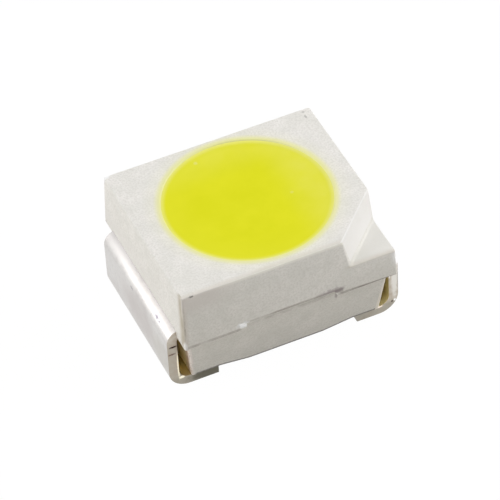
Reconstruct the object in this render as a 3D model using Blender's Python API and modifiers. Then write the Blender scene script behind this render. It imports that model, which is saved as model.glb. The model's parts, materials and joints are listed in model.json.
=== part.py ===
"""A white light-emitting diode in a two-lead moulded chip carrier for surface mounting.

A white moulded housing holds a round reflector cup. Two leads, stamped from one plated copper
sheet and formed into a J, enter it at the mould's parting plane and end as pads on the floor of
the cup. A blue chip is glued to the cathode's pad and wired to both pads with fine gold wire, and
a yellow filling of silicone and phosphor covers them up to the rim. A stepped notch in one
corner of the housing marks the cathode.

Frame: metres, X from lead to lead with the cathode at +X, Y across the width, Z up. The origin
lies under the middle of the part, level with the undersides of the two feet.
"""
import math

import bmesh
import bpy
from mathutils import Matrix, Vector
from mathutils.geometry import interpolate_bezier

MM = 0.001

# Package: the sizes that the drawing of such a part gives.
OVERALL_LENGTH = 3.5 * MM
OVERALL_HEIGHT = 1.9 * MM
LEAD_STANDOFF = 0.15 * MM
BODY_LENGTH = OVERALL_LENGTH - 2 * LEAD_STANDOFF
BODY_WIDTH = 2.8 * MM
PARTING_HEIGHT = 1.02 * MM
CORNER_RADIUS = 0.07 * MM
EDGE_RADIUS = 0.02 * MM

# Upper half: drafts of its end walls and its long walls.
UPPER_END_DRAFT = math.radians(1.5)
UPPER_SIDE_DRAFT = math.radians(4.0)

# Lower half: set back under the upper one, and steeper, so that the leads fold down beside it.
LOWER_SETBACK = 0.07 * MM
LOWER_END_DRAFT = math.radians(6.5)
LOWER_SIDE_DRAFT = math.radians(12.0)
BELLY_HEIGHT = 0.10 * MM
FOOT_POCKET_HEIGHT = 0.17 * MM
POCKET_RAMP_INSET = 0.60 * MM
POCKET_RAMP_RUN = 0.44 * MM
POCKET_RAMP_START = BODY_LENGTH / 2 - POCKET_RAMP_INSET
POCKET_RAMP_END = POCKET_RAMP_START - POCKET_RAMP_RUN

# Cathode notch: equal legs along both top edges, down to a level ledge.
NOTCH_LEG = 0.775 * MM
NOTCH_DEPTH = 0.48 * MM
NOTCH_WALL_LEAN = math.radians(10.5)
NOTCH_FILLET = 0.03 * MM

# Reflector cup.
CUP_MOUTH_DIAMETER = 2.4 * MM
CUP_FLOOR_DIAMETER = 1.8 * MM
CUP_LIP_RADIUS = 0.02 * MM
CUP_FLOOR_FILLET = 0.06 * MM

# Leads: stamped sheet, formed round two bends.
LEAD_SHEET = 0.15 * MM
LEAD_WIDTH = 2.2 * MM
LEAD_RISE = 0.06 * MM
TOP_BEND_RADIUS = 0.20 * MM
FOOT_BEND_RADIUS = 0.30 * MM
ANODE_FOOT_LENGTH = 0.735 * MM
CATHODE_FOOT_LENGTH = 0.65 * MM
TAB_WIDTH = 1.9 * MM
SHOULDER_INSET = 0.18 * MM
TAB_SHOULDER = BODY_LENGTH / 2 - SHOULDER_INSET
TAB_SHOULDER_RUN = 0.10 * MM
PAD_CORNER_RADIUS = 0.12 * MM
PAD_SLOT = 0.22 * MM
PAD_SLOT_CENTRE = -0.40 * MM
LOCK_HOLE_DIAMETER = 0.26 * MM
LOCK_HOLE_INSET = 0.39 * MM
LOCK_HOLE_REACH = BODY_LENGTH / 2 - LOCK_HOLE_INSET
LOCK_HOLE_SPREAD = 1.24 * MM

# Chip: a sapphire block, the raised light-making layer with one corner etched away, two contacts.
CHIP_SIDE = 0.30 * MM
CHIP_BLOCK_HEIGHT = 0.10 * MM
CHIP_LAYER_HEIGHT = 0.008 * MM
CHIP_LAYER_MARGIN = 0.010 * MM
CHIP_ETCHED_CORNER = 0.12 * MM
CONTACT_DIAMETER = 0.09 * MM
CONTACT_HEIGHT = 0.005 * MM
CONTACT_PLACE = 0.080 * MM

# Adhesive: a thin pad with sloping sides, a little wider than the chip.
ADHESIVE_THICKNESS = 0.015 * MM
ADHESIVE_MARGIN = 0.035 * MM
ADHESIVE_SLOPE_RUN = 0.012 * MM
ADHESIVE_CORNER_RADIUS = 0.05 * MM

# Bond wires: each has a ball on its contact, a loop, and a flattened stitch on its lead.
WIRE_DIAMETER = 0.025 * MM
BALL_DIAMETER = 0.075 * MM
BALL_HEIGHT = 0.022 * MM
BALL_CROWN_RADIUS = 0.010 * MM
BALL_FOOT_RADIUS = 0.005 * MM
LOOP_RISE = 0.30 * MM
LOOP_LEAN = 0.16 * MM
LOOP_LANDING = 0.10 * MM
STITCH_LENGTH = 0.10 * MM
STITCH_WIDTH = 0.055 * MM
STITCH_HEIGHT = 0.020 * MM
ANODE_STITCH_REACH = 0.68 * MM
CATHODE_STITCH_REACH = 0.60 * MM
STITCH_SPREAD = 0.18 * MM

# Filling of the cup: its edge stands a little below the rim, and its middle dips.
FILL_EDGE_DROP = 0.025 * MM
FILL_DIP = 0.045 * MM
FILL_CURL = 9

# Clearance between pieces that touch on the real part. It is small because the part is.
FIT_GAP = 0.003 * MM

# Fineness of round shapes.
CUP_STEPS = 80
SMALL_STEPS = 24
ARC_STEPS = 5
LOOP_POINTS = 12

# A cutter reaches this far past the faces that it opens.
CUTTER_REACH = 0.4 * MM

# A shape that is joined to another one starts this deep inside it.
JOIN_DEPTH = 0.025 * MM

# Faces that meet at more than this angle meet in a sharp edge.
SHARP_ANGLE = math.radians(35.0)

# Two points closer than this are one point.
WELD_DISTANCE = 0.00005 * MM

LEAD_TOP = PARTING_HEIGHT + LEAD_RISE
ANODE_SIDE = -1
CATHODE_SIDE = 1


def clear_scene():
    """Remove what a new file starts with."""
    for obj in list(bpy.data.objects):
        bpy.data.objects.remove(obj, do_unlink=True)


def make_collection(name):
    """Add a collection to the scene."""
    collection = bpy.data.collections.new(name)
    bpy.context.scene.collection.children.link(collection)
    return collection


def make_material(name, colour, roughness, metallic=0.0):
    """Make a Principled material of one colour."""
    material = bpy.data.materials.new(name)
    material.use_nodes = True
    shader = material.node_tree.nodes["Principled BSDF"]
    shader.inputs["Base Color"].default_value = (*colour, 1.0)
    shader.inputs["Roughness"].default_value = roughness
    shader.inputs["Metallic"].default_value = metallic
    material.diffuse_color = (*colour, 1.0)
    return material


def rounded_outline(corners, closed=True):
    """Turn corners (u, v, radius) into points, with an arc at each corner that has a radius."""
    points = []
    count = len(corners)
    for index, (u, v, radius) in enumerate(corners):
        corner = Vector((u, v))
        at_end = not closed and index in (0, count - 1)
        if radius <= 0.0 or at_end:
            points.append(corner)
            continue
        before = Vector(corners[index - 1][:2]) - corner
        after = Vector(corners[(index + 1) % count][:2]) - corner
        before.normalize()
        after.normalize()
        half_angle = before.angle(after) / 2
        centre = corner + (before + after).normalized() * (radius / math.sin(half_angle))
        run = radius / math.tan(half_angle)
        start = corner + before * run - centre
        sweep = math.pi - 2 * half_angle
        if before.cross(after) > 0.0:
            sweep = -sweep
        for step in range(ARC_STEPS + 1):
            turn = Matrix.Rotation(sweep * step / ARC_STEPS, 2)
            points.append(centre + turn @ start)
    return points


def weld(obj):
    """Merge a mesh's coincident points and turn its faces outwards."""
    mesh = bmesh.new()
    mesh.from_mesh(obj.data)
    bmesh.ops.remove_doubles(mesh, verts=mesh.verts, dist=WELD_DISTANCE)
    bmesh.ops.recalc_face_normals(mesh, faces=mesh.faces)
    mesh.to_mesh(obj.data)
    mesh.free()


def mesh_from_curve(curve_object, collection):
    """Replace a curve object by a closed mesh object of the same name and place."""
    bpy.context.view_layer.update()
    evaluated = curve_object.evaluated_get(bpy.context.evaluated_depsgraph_get())
    data = bpy.data.meshes.new_from_object(evaluated)
    name = curve_object.name
    place = curve_object.matrix_world.copy()
    bpy.data.objects.remove(curve_object, do_unlink=True)
    obj = bpy.data.objects.new(name, data)
    obj.matrix_world = place
    collection.objects.link(obj)
    weld(obj)
    return obj


def extruded(name, outlines, thickness, place, collection):
    """Extrude flat closed outlines, which lie in the local XY plane, to a thickness about it."""
    data = bpy.data.curves.new(name, "CURVE")
    data.dimensions = "2D"
    data.fill_mode = "BOTH"
    data.extrude = thickness / 2
    for outline in outlines:
        spline = data.splines.new("POLY")
        spline.points.add(len(outline) - 1)
        spline.use_cyclic_u = True
        for point, (u, v) in zip(spline.points, outline):
            point.co = (u, v, 0.0, 1.0)
    curve_object = bpy.data.objects.new(name, data)
    curve_object.matrix_world = place
    collection.objects.link(curve_object)
    return mesh_from_curve(curve_object, collection)


def turned(name, profile, steps, collection):
    """Turn a profile of (radius, height) about Z. It runs down its outer side, top to bottom."""
    data = bpy.data.meshes.new(name)
    mesh = bmesh.new()
    verts = [mesh.verts.new((radius, 0.0, height)) for radius, height in profile]
    for first, second in zip(verts, verts[1:]):
        mesh.edges.new((first, second))
    mesh.to_mesh(data)
    mesh.free()
    obj = bpy.data.objects.new(name, data)
    collection.objects.link(obj)
    screw = obj.modifiers.new("Turn", "SCREW")
    screw.angle = math.tau
    screw.steps = steps
    screw.render_steps = steps
    screw.use_merge_vertices = True
    screw.merge_threshold = WELD_DISTANCE
    screw.use_normal_calculate = False
    return obj


def upright_plane():
    """Give the placement that stands a flat outline up in the XZ plane."""
    return Matrix.Rotation(math.pi / 2, 4, "X")


def combine(target, tool, operation="DIFFERENCE"):
    """Cut or join an object with another one through a Boolean modifier."""
    modifier = target.modifiers.new(tool.name, "BOOLEAN")
    modifier.operation = operation
    modifier.solver = "EXACT"
    modifier.object = tool


def apply_modifiers(obj):
    """Bake an object's modifiers into its mesh."""
    bpy.context.view_layer.update()
    evaluated = obj.evaluated_get(bpy.context.evaluated_depsgraph_get())
    data = bpy.data.meshes.new_from_object(evaluated)
    obj.modifiers.clear()
    obj.data = data


def dress(obj, material):
    """Give a finished piece its material and smooth its round faces."""
    obj.data.materials.clear()
    obj.data.materials.append(material)
    obj.data.shade_smooth()
    obj.data.set_sharp_from_angle(angle=SHARP_ANGLE)


def hide_cutter(obj):
    """Show a cutter as wire and keep it out of renders."""
    obj.hide_render = True
    obj.display_type = "WIRE"


def tapered_block(name, base, base_height, tip, tip_height, radius, collection):
    """Make a block with half sizes (x, y) at two heights, its upright edges rounded or sharp."""
    data = bpy.data.meshes.new(name)
    mesh = bmesh.new()
    bmesh.ops.create_cube(mesh, size=2.0)
    for vert in mesh.verts:
        half = tip if vert.co.z > 0.0 else base
        height = tip_height if vert.co.z > 0.0 else base_height
        vert.co = (vert.co.x * half[0], vert.co.y * half[1], height)
    if radius > 0.0:
        upright = [edge for edge in mesh.edges if edge.verts[0].co.z != edge.verts[1].co.z]
        bmesh.ops.bevel(mesh, geom=upright, offset=radius, segments=ARC_STEPS, profile=0.5,
                        affect="EDGES")
    mesh.to_mesh(data)
    mesh.free()
    obj = bpy.data.objects.new(name, data)
    collection.objects.link(obj)
    return obj


def upper_half_size(height):
    """Half length and half width of the upper half's outside at a height."""
    rise = height - PARTING_HEIGHT
    half_length = BODY_LENGTH / 2 - rise * math.tan(UPPER_END_DRAFT)
    half_width = BODY_WIDTH / 2 - rise * math.tan(UPPER_SIDE_DRAFT)
    return half_length, half_width


def lower_half_size(height):
    """Half length and half width of the lower half's outside at a height."""
    depth = PARTING_HEIGHT - height
    half_length = BODY_LENGTH / 2 - LOWER_SETBACK - depth * math.tan(LOWER_END_DRAFT)
    half_width = BODY_WIDTH / 2 - LOWER_SETBACK - depth * math.tan(LOWER_SIDE_DRAFT)
    return half_length, half_width


def cup_radius(height):
    """Radius of the cup's straight wall at a height."""
    share = (height - LEAD_TOP) / (OVERALL_HEIGHT - LEAD_TOP)
    return (CUP_FLOOR_DIAMETER + (CUP_MOUTH_DIAMETER - CUP_FLOOR_DIAMETER) * share) / 2


def notch_cutter(collection):
    """Make the cutter of the stepped corner that marks the cathode."""
    half_length, half_width = upper_half_size(OVERALL_HEIGHT)
    wall_top = (half_length + half_width - NOTCH_LEG) / math.sqrt(2.0)
    lean = math.tan(NOTCH_WALL_LEAN)
    ledge = OVERALL_HEIGHT - NOTCH_DEPTH
    wall_foot = wall_top + NOTCH_DEPTH * lean
    above = OVERALL_HEIGHT + CUTTER_REACH
    far = wall_foot + BODY_WIDTH
    outline = rounded_outline([
        (wall_top - CUTTER_REACH * lean, above, 0.0),
        (wall_foot, ledge, NOTCH_FILLET),
        (far, ledge, 0.0),
        (far, above, 0.0),
    ])
    place = Matrix.Rotation(math.radians(-45.0), 4, "Z") @ upright_plane()
    cutter = extruded("notch_cutter", [outline], BODY_LENGTH, place, collection)
    hide_cutter(cutter)
    return cutter


def foot_pocket_cutter(side, collection):
    """Make the cutter of the shallow pocket that one foot lies under, with its ramp."""
    drop = FOOT_POCKET_HEIGHT - BELLY_HEIGHT
    below = BELLY_HEIGHT - drop
    corners = [
        (side * (POCKET_RAMP_END - POCKET_RAMP_RUN), below),
        (side * POCKET_RAMP_START, FOOT_POCKET_HEIGHT),
        (side * BODY_LENGTH, FOOT_POCKET_HEIGHT),
        (side * BODY_LENGTH, below),
    ]
    name = "anode_pocket_cutter" if side == ANODE_SIDE else "cathode_pocket_cutter"
    cutter = extruded(name, [corners], 2 * BODY_WIDTH, upright_plane(), collection)
    hide_cutter(cutter)
    return cutter


def cup_cutter(collection):
    """Make the cutter of the reflector cup, with its rounded lip and floor edge."""
    mouth = cup_radius(OVERALL_HEIGHT)
    profile = rounded_outline([
        (0.0, OVERALL_HEIGHT + CUTTER_REACH, 0.0),
        (mouth + CUP_LIP_RADIUS * 2, OVERALL_HEIGHT + CUTTER_REACH, 0.0),
        (mouth + CUP_LIP_RADIUS * 2, OVERALL_HEIGHT, 0.0),
        (mouth, OVERALL_HEIGHT, CUP_LIP_RADIUS),
        (cup_radius(LEAD_TOP), LEAD_TOP, CUP_FLOOR_FILLET),
        (0.0, LEAD_TOP, 0.0),
    ], closed=False)
    cutter = turned("cup_cutter", profile, CUP_STEPS, collection)
    hide_cutter(cutter)
    return cutter


def lead_profile(side, foot_length, pad_end, grow):
    """Side view of a formed lead, from its pad round both bends to its foot, grown all round."""
    outer = OVERALL_LENGTH / 2 + grow
    inner = OVERALL_LENGTH / 2 - LEAD_SHEET - grow
    top = LEAD_TOP + grow
    under = LEAD_TOP - LEAD_SHEET - grow
    foot_top = LEAD_SHEET + grow
    foot_end = OVERALL_LENGTH / 2 - foot_length - grow
    corners = [
        (pad_end - grow, top, 0.0),
        (outer, top, TOP_BEND_RADIUS + grow),
        (outer, -grow, FOOT_BEND_RADIUS + grow),
        (foot_end, -grow, 0.0),
        (foot_end, foot_top, 0.0),
        (inner, foot_top, FOOT_BEND_RADIUS - LEAD_SHEET - grow),
        (inner, under, TOP_BEND_RADIUS - LEAD_SHEET - grow),
        (pad_end - grow, under, 0.0),
    ]
    return rounded_outline([(side * u, v, radius) for u, v, radius in corners])


def tab_outline(side, pad_end, grow):
    """Plan of what the stamping tool takes away round a tab and its pad: a U open to the wall."""
    half_tab = TAB_WIDTH / 2 + grow
    half_lead = LEAD_WIDTH / 2 + grow
    beyond = LEAD_WIDTH
    far = pad_end - CUTTER_REACH
    corners = [
        (TAB_SHOULDER, beyond, 0.0),
        (far, beyond, 0.0),
        (far, -beyond, 0.0),
        (TAB_SHOULDER, -beyond, 0.0),
        (TAB_SHOULDER, -half_lead, 0.0),
        (TAB_SHOULDER - TAB_SHOULDER_RUN, -half_tab, 0.0),
        (pad_end - grow, -half_tab, PAD_CORNER_RADIUS),
        (pad_end - grow, half_tab, PAD_CORNER_RADIUS),
        (TAB_SHOULDER - TAB_SHOULDER_RUN, half_tab, 0.0),
        (TAB_SHOULDER, half_lead, 0.0),
    ]
    return rounded_outline([(side * u, v, radius) for u, v, radius in corners])


def lock_hole_outline(side, across, grow):
    """Plan of one hole in a tab, which the moulding fills to lock the lead in."""
    radius = LOCK_HOLE_DIAMETER / 2 - grow
    points = []
    for step in range(SMALL_STEPS):
        angle = math.tau * step / SMALL_STEPS
        points.append(Vector((
            side * LOCK_HOLE_REACH + radius * math.cos(angle),
            across * LOCK_HOLE_SPREAD / 2 + radius * math.sin(angle),
        )))
    return points


def formed_lead(name, side, foot_length, pad_end, grow, collection, cutters):
    """Make a lead, or the space that it takes in the housing: the sheet's J, then its stamped tab."""
    width = LEAD_WIDTH + 2 * grow
    profile = lead_profile(side, foot_length, pad_end, grow)
    lead = extruded(name, [profile], width, upright_plane(), collection)
    tab_height = LEAD_TOP - LEAD_SHEET / 2
    outlines = [tab_outline(side, pad_end, grow)]
    outlines += [lock_hole_outline(side, across, grow) for across in (-1, 1)]
    place = Matrix.Translation((0.0, 0.0, tab_height))
    stamp = extruded(name + "_stamp", outlines, 2 * CUTTER_REACH, place, cutters)
    hide_cutter(stamp)
    combine(lead, stamp)
    apply_modifiers(lead)
    return lead


def pad_end_of(side):
    """Distance from the middle, towards the lead's own side, at which its pad ends."""
    return side * PAD_SLOT_CENTRE + PAD_SLOT / 2


def make_lead(side, parts, cutters):
    """Make one lead and the pocket that the housing has for it."""
    is_anode = side == ANODE_SIDE
    name = "anode_lead" if is_anode else "cathode_lead"
    foot_length = ANODE_FOOT_LENGTH if is_anode else CATHODE_FOOT_LENGTH
    pad_end = pad_end_of(side)
    lead = formed_lead(name, side, foot_length, pad_end, 0.0, parts, cutters)
    pocket = formed_lead(name + "_pocket", side, foot_length, pad_end, FIT_GAP, cutters, cutters)
    hide_cutter(pocket)
    return lead, pocket


def make_housing(pockets, parts, cutters):
    """Mould the housing: two halves, the notch, the foot pockets, the cup and the leads' slots."""
    parting_size = (BODY_LENGTH / 2, BODY_WIDTH / 2)
    housing = tapered_block("housing", parting_size, PARTING_HEIGHT, upper_half_size(OVERALL_HEIGHT),
                            OVERALL_HEIGHT, CORNER_RADIUS, parts)
    root_height = PARTING_HEIGHT + JOIN_DEPTH
    lower = tapered_block("lower_half", lower_half_size(BELLY_HEIGHT), BELLY_HEIGHT,
                          lower_half_size(root_height), root_height, CORNER_RADIUS, cutters)
    hide_cutter(lower)
    combine(housing, lower, "UNION")
    combine(housing, notch_cutter(cutters))
    combine(housing, foot_pocket_cutter(ANODE_SIDE, cutters))
    combine(housing, foot_pocket_cutter(CATHODE_SIDE, cutters))
    edges = housing.modifiers.new("Edge radius", "BEVEL")
    edges.width = EDGE_RADIUS
    edges.segments = 2
    edges.limit_method = "ANGLE"
    edges.angle_limit = SHARP_ANGLE
    edges.use_clamp_overlap = True
    apply_modifiers(housing)
    combine(housing, cup_cutter(cutters))
    for pocket in pockets:
        combine(housing, pocket)
    apply_modifiers(housing)
    return housing


def make_adhesive(grow, parts):
    """Make the dot of adhesive that holds the chip to the cathode's pad, grown all round."""
    half = CHIP_SIDE / 2 + ADHESIVE_MARGIN + grow
    base = LEAD_TOP + FIT_GAP - grow
    tip = LEAD_TOP + FIT_GAP + ADHESIVE_THICKNESS + grow
    foot = (half, half)
    crown = (half - ADHESIVE_SLOPE_RUN, half - ADHESIVE_SLOPE_RUN)
    return tapered_block("die_attach", foot, base, crown, tip, ADHESIVE_CORNER_RADIUS, parts)


def chip_base():
    """Height of the chip's underside, on its adhesive."""
    return LEAD_TOP + FIT_GAP + ADHESIVE_THICKNESS + FIT_GAP


def contact_top(side):
    """Height of a contact's top: the anode's is on the raised layer, the other in the etched corner."""
    height = chip_base() + CHIP_BLOCK_HEIGHT + CONTACT_HEIGHT
    return height + CHIP_LAYER_HEIGHT if side == ANODE_SIDE else height


def square_block(name, half, low, high, collection):
    """Make a plain square block about the Z axis between two heights."""
    return tapered_block(name, (half, half), low, (half, half), high, 0.0, collection)


def round_pad(name, centre, radius, low, high, collection):
    """Make a short upright cylinder, such as a contact."""
    data = bpy.data.meshes.new(name)
    mesh = bmesh.new()
    place = Matrix.Translation((centre[0], centre[1], (low + high) / 2))
    bmesh.ops.create_cone(mesh, cap_ends=True, segments=SMALL_STEPS, radius1=radius, radius2=radius,
                          depth=high - low, matrix=place)
    mesh.to_mesh(data)
    mesh.free()
    obj = bpy.data.objects.new(name, data)
    collection.objects.link(obj)
    return obj


def layer_outline():
    """Plan of the chip's raised layer: a square with one corner etched away in a quarter round."""
    half = CHIP_SIDE / 2 - CHIP_LAYER_MARGIN
    return rounded_outline([
        (-half, -half, 0.0),
        (half - CHIP_ETCHED_CORNER, -half, 0.0),
        (half - CHIP_ETCHED_CORNER, -half + CHIP_ETCHED_CORNER, CHIP_ETCHED_CORNER / 2),
        (half, -half + CHIP_ETCHED_CORNER, 0.0),
        (half, half, 0.0),
        (-half, half, 0.0),
    ])


def make_chip(parts, cutters):
    """Make the chip: its block, its raised layer and its two contacts, grown and plated as one."""
    base = chip_base()
    block_top = base + CHIP_BLOCK_HEIGHT
    layer_top = block_top + CHIP_LAYER_HEIGHT
    chip = square_block("led_chip", CHIP_SIDE / 2, base, block_top, parts)
    middle = (block_top - JOIN_DEPTH + layer_top) / 2
    layer = extruded("chip_layer", [layer_outline()], CHIP_LAYER_HEIGHT + JOIN_DEPTH,
                     Matrix.Translation((0.0, 0.0, middle)), cutters)
    combine(chip, layer, "UNION")
    hide_cutter(layer)
    for name, side in (("anode_contact", ANODE_SIDE), ("cathode_contact", CATHODE_SIDE)):
        top = contact_top(side)
        low = top - CONTACT_HEIGHT - JOIN_DEPTH
        contact = round_pad(name, contact_place(side), CONTACT_DIAMETER / 2, low, top, cutters)
        combine(chip, contact, "UNION")
        hide_cutter(contact)
    apply_modifiers(chip)
    return chip


def contact_place(side):
    """Place of a contact on the chip, on the diagonal that ends in the etched corner."""
    return side * CONTACT_PLACE, -side * CONTACT_PLACE


def stitch_place(side):
    """Place of a wire's stitch on its lead's pad."""
    reach = ANODE_STITCH_REACH if side == ANODE_SIDE else CATHODE_STITCH_REACH
    return side * reach, -side * STITCH_SPREAD


def make_ball(name, centre, base, grow, collection):
    """Make the bonded ball at a wire's first end, flat on its contact and rounded above."""
    radius = BALL_DIAMETER / 2 + grow
    top = base + BALL_HEIGHT + grow
    low = base - grow
    profile = rounded_outline([
        (0.0, top, 0.0),
        (radius, top, BALL_CROWN_RADIUS),
        (radius, low, BALL_FOOT_RADIUS),
        (0.0, low, 0.0),
    ], closed=False)
    ball = turned(name, profile, SMALL_STEPS, collection)
    ball.location = (centre[0], centre[1], 0.0)
    return ball


def make_stitch(name, side, grow, collection):
    """Make the flattened stitch at a wire's second end, lying along the wire's own direction."""
    start = Vector(contact_place(side))
    centre = Vector(stitch_place(side))
    direction = (centre - start).normalized()
    data = bpy.data.meshes.new(name)
    mesh = bmesh.new()
    bmesh.ops.create_uvsphere(mesh, u_segments=SMALL_STEPS // 2, v_segments=SMALL_STEPS // 3, radius=1.0)
    for vert in mesh.verts:
        vert.co.x *= STITCH_LENGTH / 2 + grow
        vert.co.y *= STITCH_WIDTH / 2 + grow
        vert.co.z *= STITCH_HEIGHT / 2 + grow
    mesh.to_mesh(data)
    mesh.free()
    stitch = bpy.data.objects.new(name, data)
    stitch.location = (centre.x, centre.y, LEAD_TOP + FIT_GAP + STITCH_HEIGHT / 2)
    stitch.rotation_euler = (0.0, 0.0, math.atan2(direction.y, direction.x))
    collection.objects.link(stitch)
    return stitch


def loop_points(side):
    """Points along a wire's loop, from inside its ball up, over and down to its stitch."""
    start = Vector((*contact_place(side), contact_top(side) + FIT_GAP + BALL_HEIGHT / 2))
    end = Vector((*stitch_place(side), LEAD_TOP + FIT_GAP + WIRE_DIAMETER / 2))
    above_start = start + Vector((0.0, 0.0, LOOP_RISE))
    back = Vector((start.x - end.x, start.y - end.y, 0.0)).normalized() * LOOP_LEAN
    above_end = end + back + Vector((0.0, 0.0, LOOP_LANDING))
    return interpolate_bezier(start, above_start, above_end, end, LOOP_POINTS)


def make_wire(name, side, grow, collection, cutters):
    """Make one gold wire with its ball and stitch in one piece, or the space that it takes."""
    data = bpy.data.curves.new(name, "CURVE")
    data.dimensions = "3D"
    data.bevel_depth = WIRE_DIAMETER / 2 + grow
    data.bevel_resolution = 2
    data.use_fill_caps = True
    points = loop_points(side)
    spline = data.splines.new("POLY")
    spline.points.add(len(points) - 1)
    for point, place in zip(spline.points, points):
        point.co = (*place, 1.0)
    curve_object = bpy.data.objects.new(name, data)
    collection.objects.link(curve_object)
    wire = mesh_from_curve(curve_object, collection)
    base = contact_top(side) + FIT_GAP
    ball = make_ball(name + "_ball", contact_place(side), base, grow, cutters)
    stitch = make_stitch(name + "_stitch", side, grow, cutters)
    for joined in (ball, stitch):
        combine(wire, joined, "UNION")
        hide_cutter(joined)
    apply_modifiers(wire)
    return wire


def fill_profile():
    """Profile of the cup's filling: its dipped top with the edge that climbs the wall, its side."""
    edge_height = OVERALL_HEIGHT - FILL_EDGE_DROP
    edge_radius = cup_radius(edge_height) - FIT_GAP
    profile = []
    for step in range(2 * ARC_STEPS + 1):
        share = (step / (2 * ARC_STEPS)) ** 0.5
        climb = share ** FILL_CURL
        profile.append((edge_radius * share, edge_height - FILL_DIP * (1.0 - climb)))
    floor = LEAD_TOP + FIT_GAP
    side = rounded_outline([
        (edge_radius, edge_height, 0.0),
        (cup_radius(LEAD_TOP) - FIT_GAP, floor, CUP_FLOOR_FILLET),
        (0.0, floor, 0.0),
    ], closed=False)
    return profile + side[1:]


def make_filling(parts, cutters):
    """Fill the cup round the chip, its adhesive and its wires, each with its clearance."""
    filling = turned("encapsulant", fill_profile(), CUP_STEPS, parts)
    chip_space = square_block("chip_space", CHIP_SIDE / 2 + FIT_GAP, LEAD_TOP - FIT_GAP,
                              contact_top(ANODE_SIDE) + FIT_GAP, cutters)
    adhesive_space = make_adhesive(2 * FIT_GAP, cutters)
    spaces = [chip_space, adhesive_space]
    for name, side in (("anode_wire_space", ANODE_SIDE), ("cathode_wire_space", CATHODE_SIDE)):
        spaces.append(make_wire(name, side, FIT_GAP, cutters, cutters))
    for space in spaces:
        combine(filling, space)
        hide_cutter(space)
    apply_modifiers(filling)
    return filling


def main():
    """Make every piece of the light-emitting diode, each in its own material."""
    clear_scene()
    parts = make_collection("light_emitting_diode")
    cutters = make_collection("cutters")
    white = make_material("White moulded polyamide", (0.80, 0.79, 0.76), 0.55)
    plated = make_material("Silver-plated copper", (0.78, 0.76, 0.72), 0.30, metallic=1.0)
    resin = make_material("Phosphor-filled silicone", (0.73, 0.72, 0.03), 0.35)
    gold = make_material("Gold wire", (0.90, 0.62, 0.22), 0.25, metallic=1.0)
    sapphire = make_material("Sapphire chip", (0.55, 0.65, 0.80), 0.10)
    paste = make_material("Silver-filled adhesive", (0.62, 0.61, 0.59), 0.50)

    anode_lead, anode_pocket = make_lead(ANODE_SIDE, parts, cutters)
    cathode_lead, cathode_pocket = make_lead(CATHODE_SIDE, parts, cutters)
    dress(make_housing([anode_pocket, cathode_pocket], parts, cutters), white)
    dress(anode_lead, plated)
    dress(cathode_lead, plated)
    dress(make_adhesive(0.0, parts), paste)
    dress(make_chip(parts, cutters), sapphire)
    dress(make_wire("anode_wire", ANODE_SIDE, 0.0, parts, cutters), gold)
    dress(make_wire("cathode_wire", CATHODE_SIDE, 0.0, parts, cutters), gold)
    dress(make_filling(parts, cutters), resin)


main()
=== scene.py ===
"""The looks of a white light-emitting diode in a two-lead moulded chip carrier.

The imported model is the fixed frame. The housing, both leads and the filling are made again here with
their fine detail, and stand for the nodes of the same names. The chip, its adhesive and its two gold
wires keep their shapes, sealed in the filling, and get their own finishes.

Pieces are modelled in millimetres and brought to metres when they are finished. X runs from lead to
lead with the cathode at +X, Y across the width, Z up from the undersides of the feet.
"""
from __future__ import annotations

import json
import logging
import math
from contextlib import contextmanager
from dataclasses import dataclass
from enum import Enum
from typing import Any, Callable, Iterator, Sequence

import bmesh
import bpy
from mathutils import Matrix, Vector

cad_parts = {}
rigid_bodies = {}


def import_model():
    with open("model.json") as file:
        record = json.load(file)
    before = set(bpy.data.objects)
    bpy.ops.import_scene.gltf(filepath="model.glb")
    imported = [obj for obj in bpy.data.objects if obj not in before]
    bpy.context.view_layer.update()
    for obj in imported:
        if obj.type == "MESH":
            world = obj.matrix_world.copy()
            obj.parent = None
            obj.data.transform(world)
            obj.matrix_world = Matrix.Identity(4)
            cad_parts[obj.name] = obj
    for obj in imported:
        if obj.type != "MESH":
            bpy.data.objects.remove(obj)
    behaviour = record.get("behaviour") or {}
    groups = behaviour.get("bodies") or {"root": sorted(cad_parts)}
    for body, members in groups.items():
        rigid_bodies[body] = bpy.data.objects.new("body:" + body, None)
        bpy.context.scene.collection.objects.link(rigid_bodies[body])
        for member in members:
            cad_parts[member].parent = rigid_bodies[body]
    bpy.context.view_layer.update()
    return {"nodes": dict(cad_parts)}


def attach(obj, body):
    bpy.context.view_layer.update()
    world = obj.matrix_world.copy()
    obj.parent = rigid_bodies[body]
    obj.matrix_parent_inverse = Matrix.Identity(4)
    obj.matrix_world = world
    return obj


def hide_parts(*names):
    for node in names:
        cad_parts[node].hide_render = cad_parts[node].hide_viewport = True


LOG = logging.getLogger("light_emitting_diode")
MM = 0.001
BODY = "root"
PHOTO_PIXELS = 500
# How near two places are, in millimetres, to count as one, and to be welded into one.
NEAR = 0.01
WELD = 0.0002
# How far out the larger cutters reach, in millimetres, which is well past the body.
REACH = 2.0
# How much of a face's normal lies along an axis where it faces that way, and where it mostly does.
FACING = 0.9
MOSTLY_FACING = 0.8
# What leads to a shader: its settings and its links.
Layers = tuple[dict[str, Any], dict[str, Any]]


class Pick(Enum):
    """What a selection in edit mode is made of."""

    FACES = "FACE"
    EDGES = "EDGE"
    POINTS = "VERT"


class Side(Enum):
    """The two ends of the part, by the sign of X."""

    ANODE = -1
    CATHODE = 1


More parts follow.
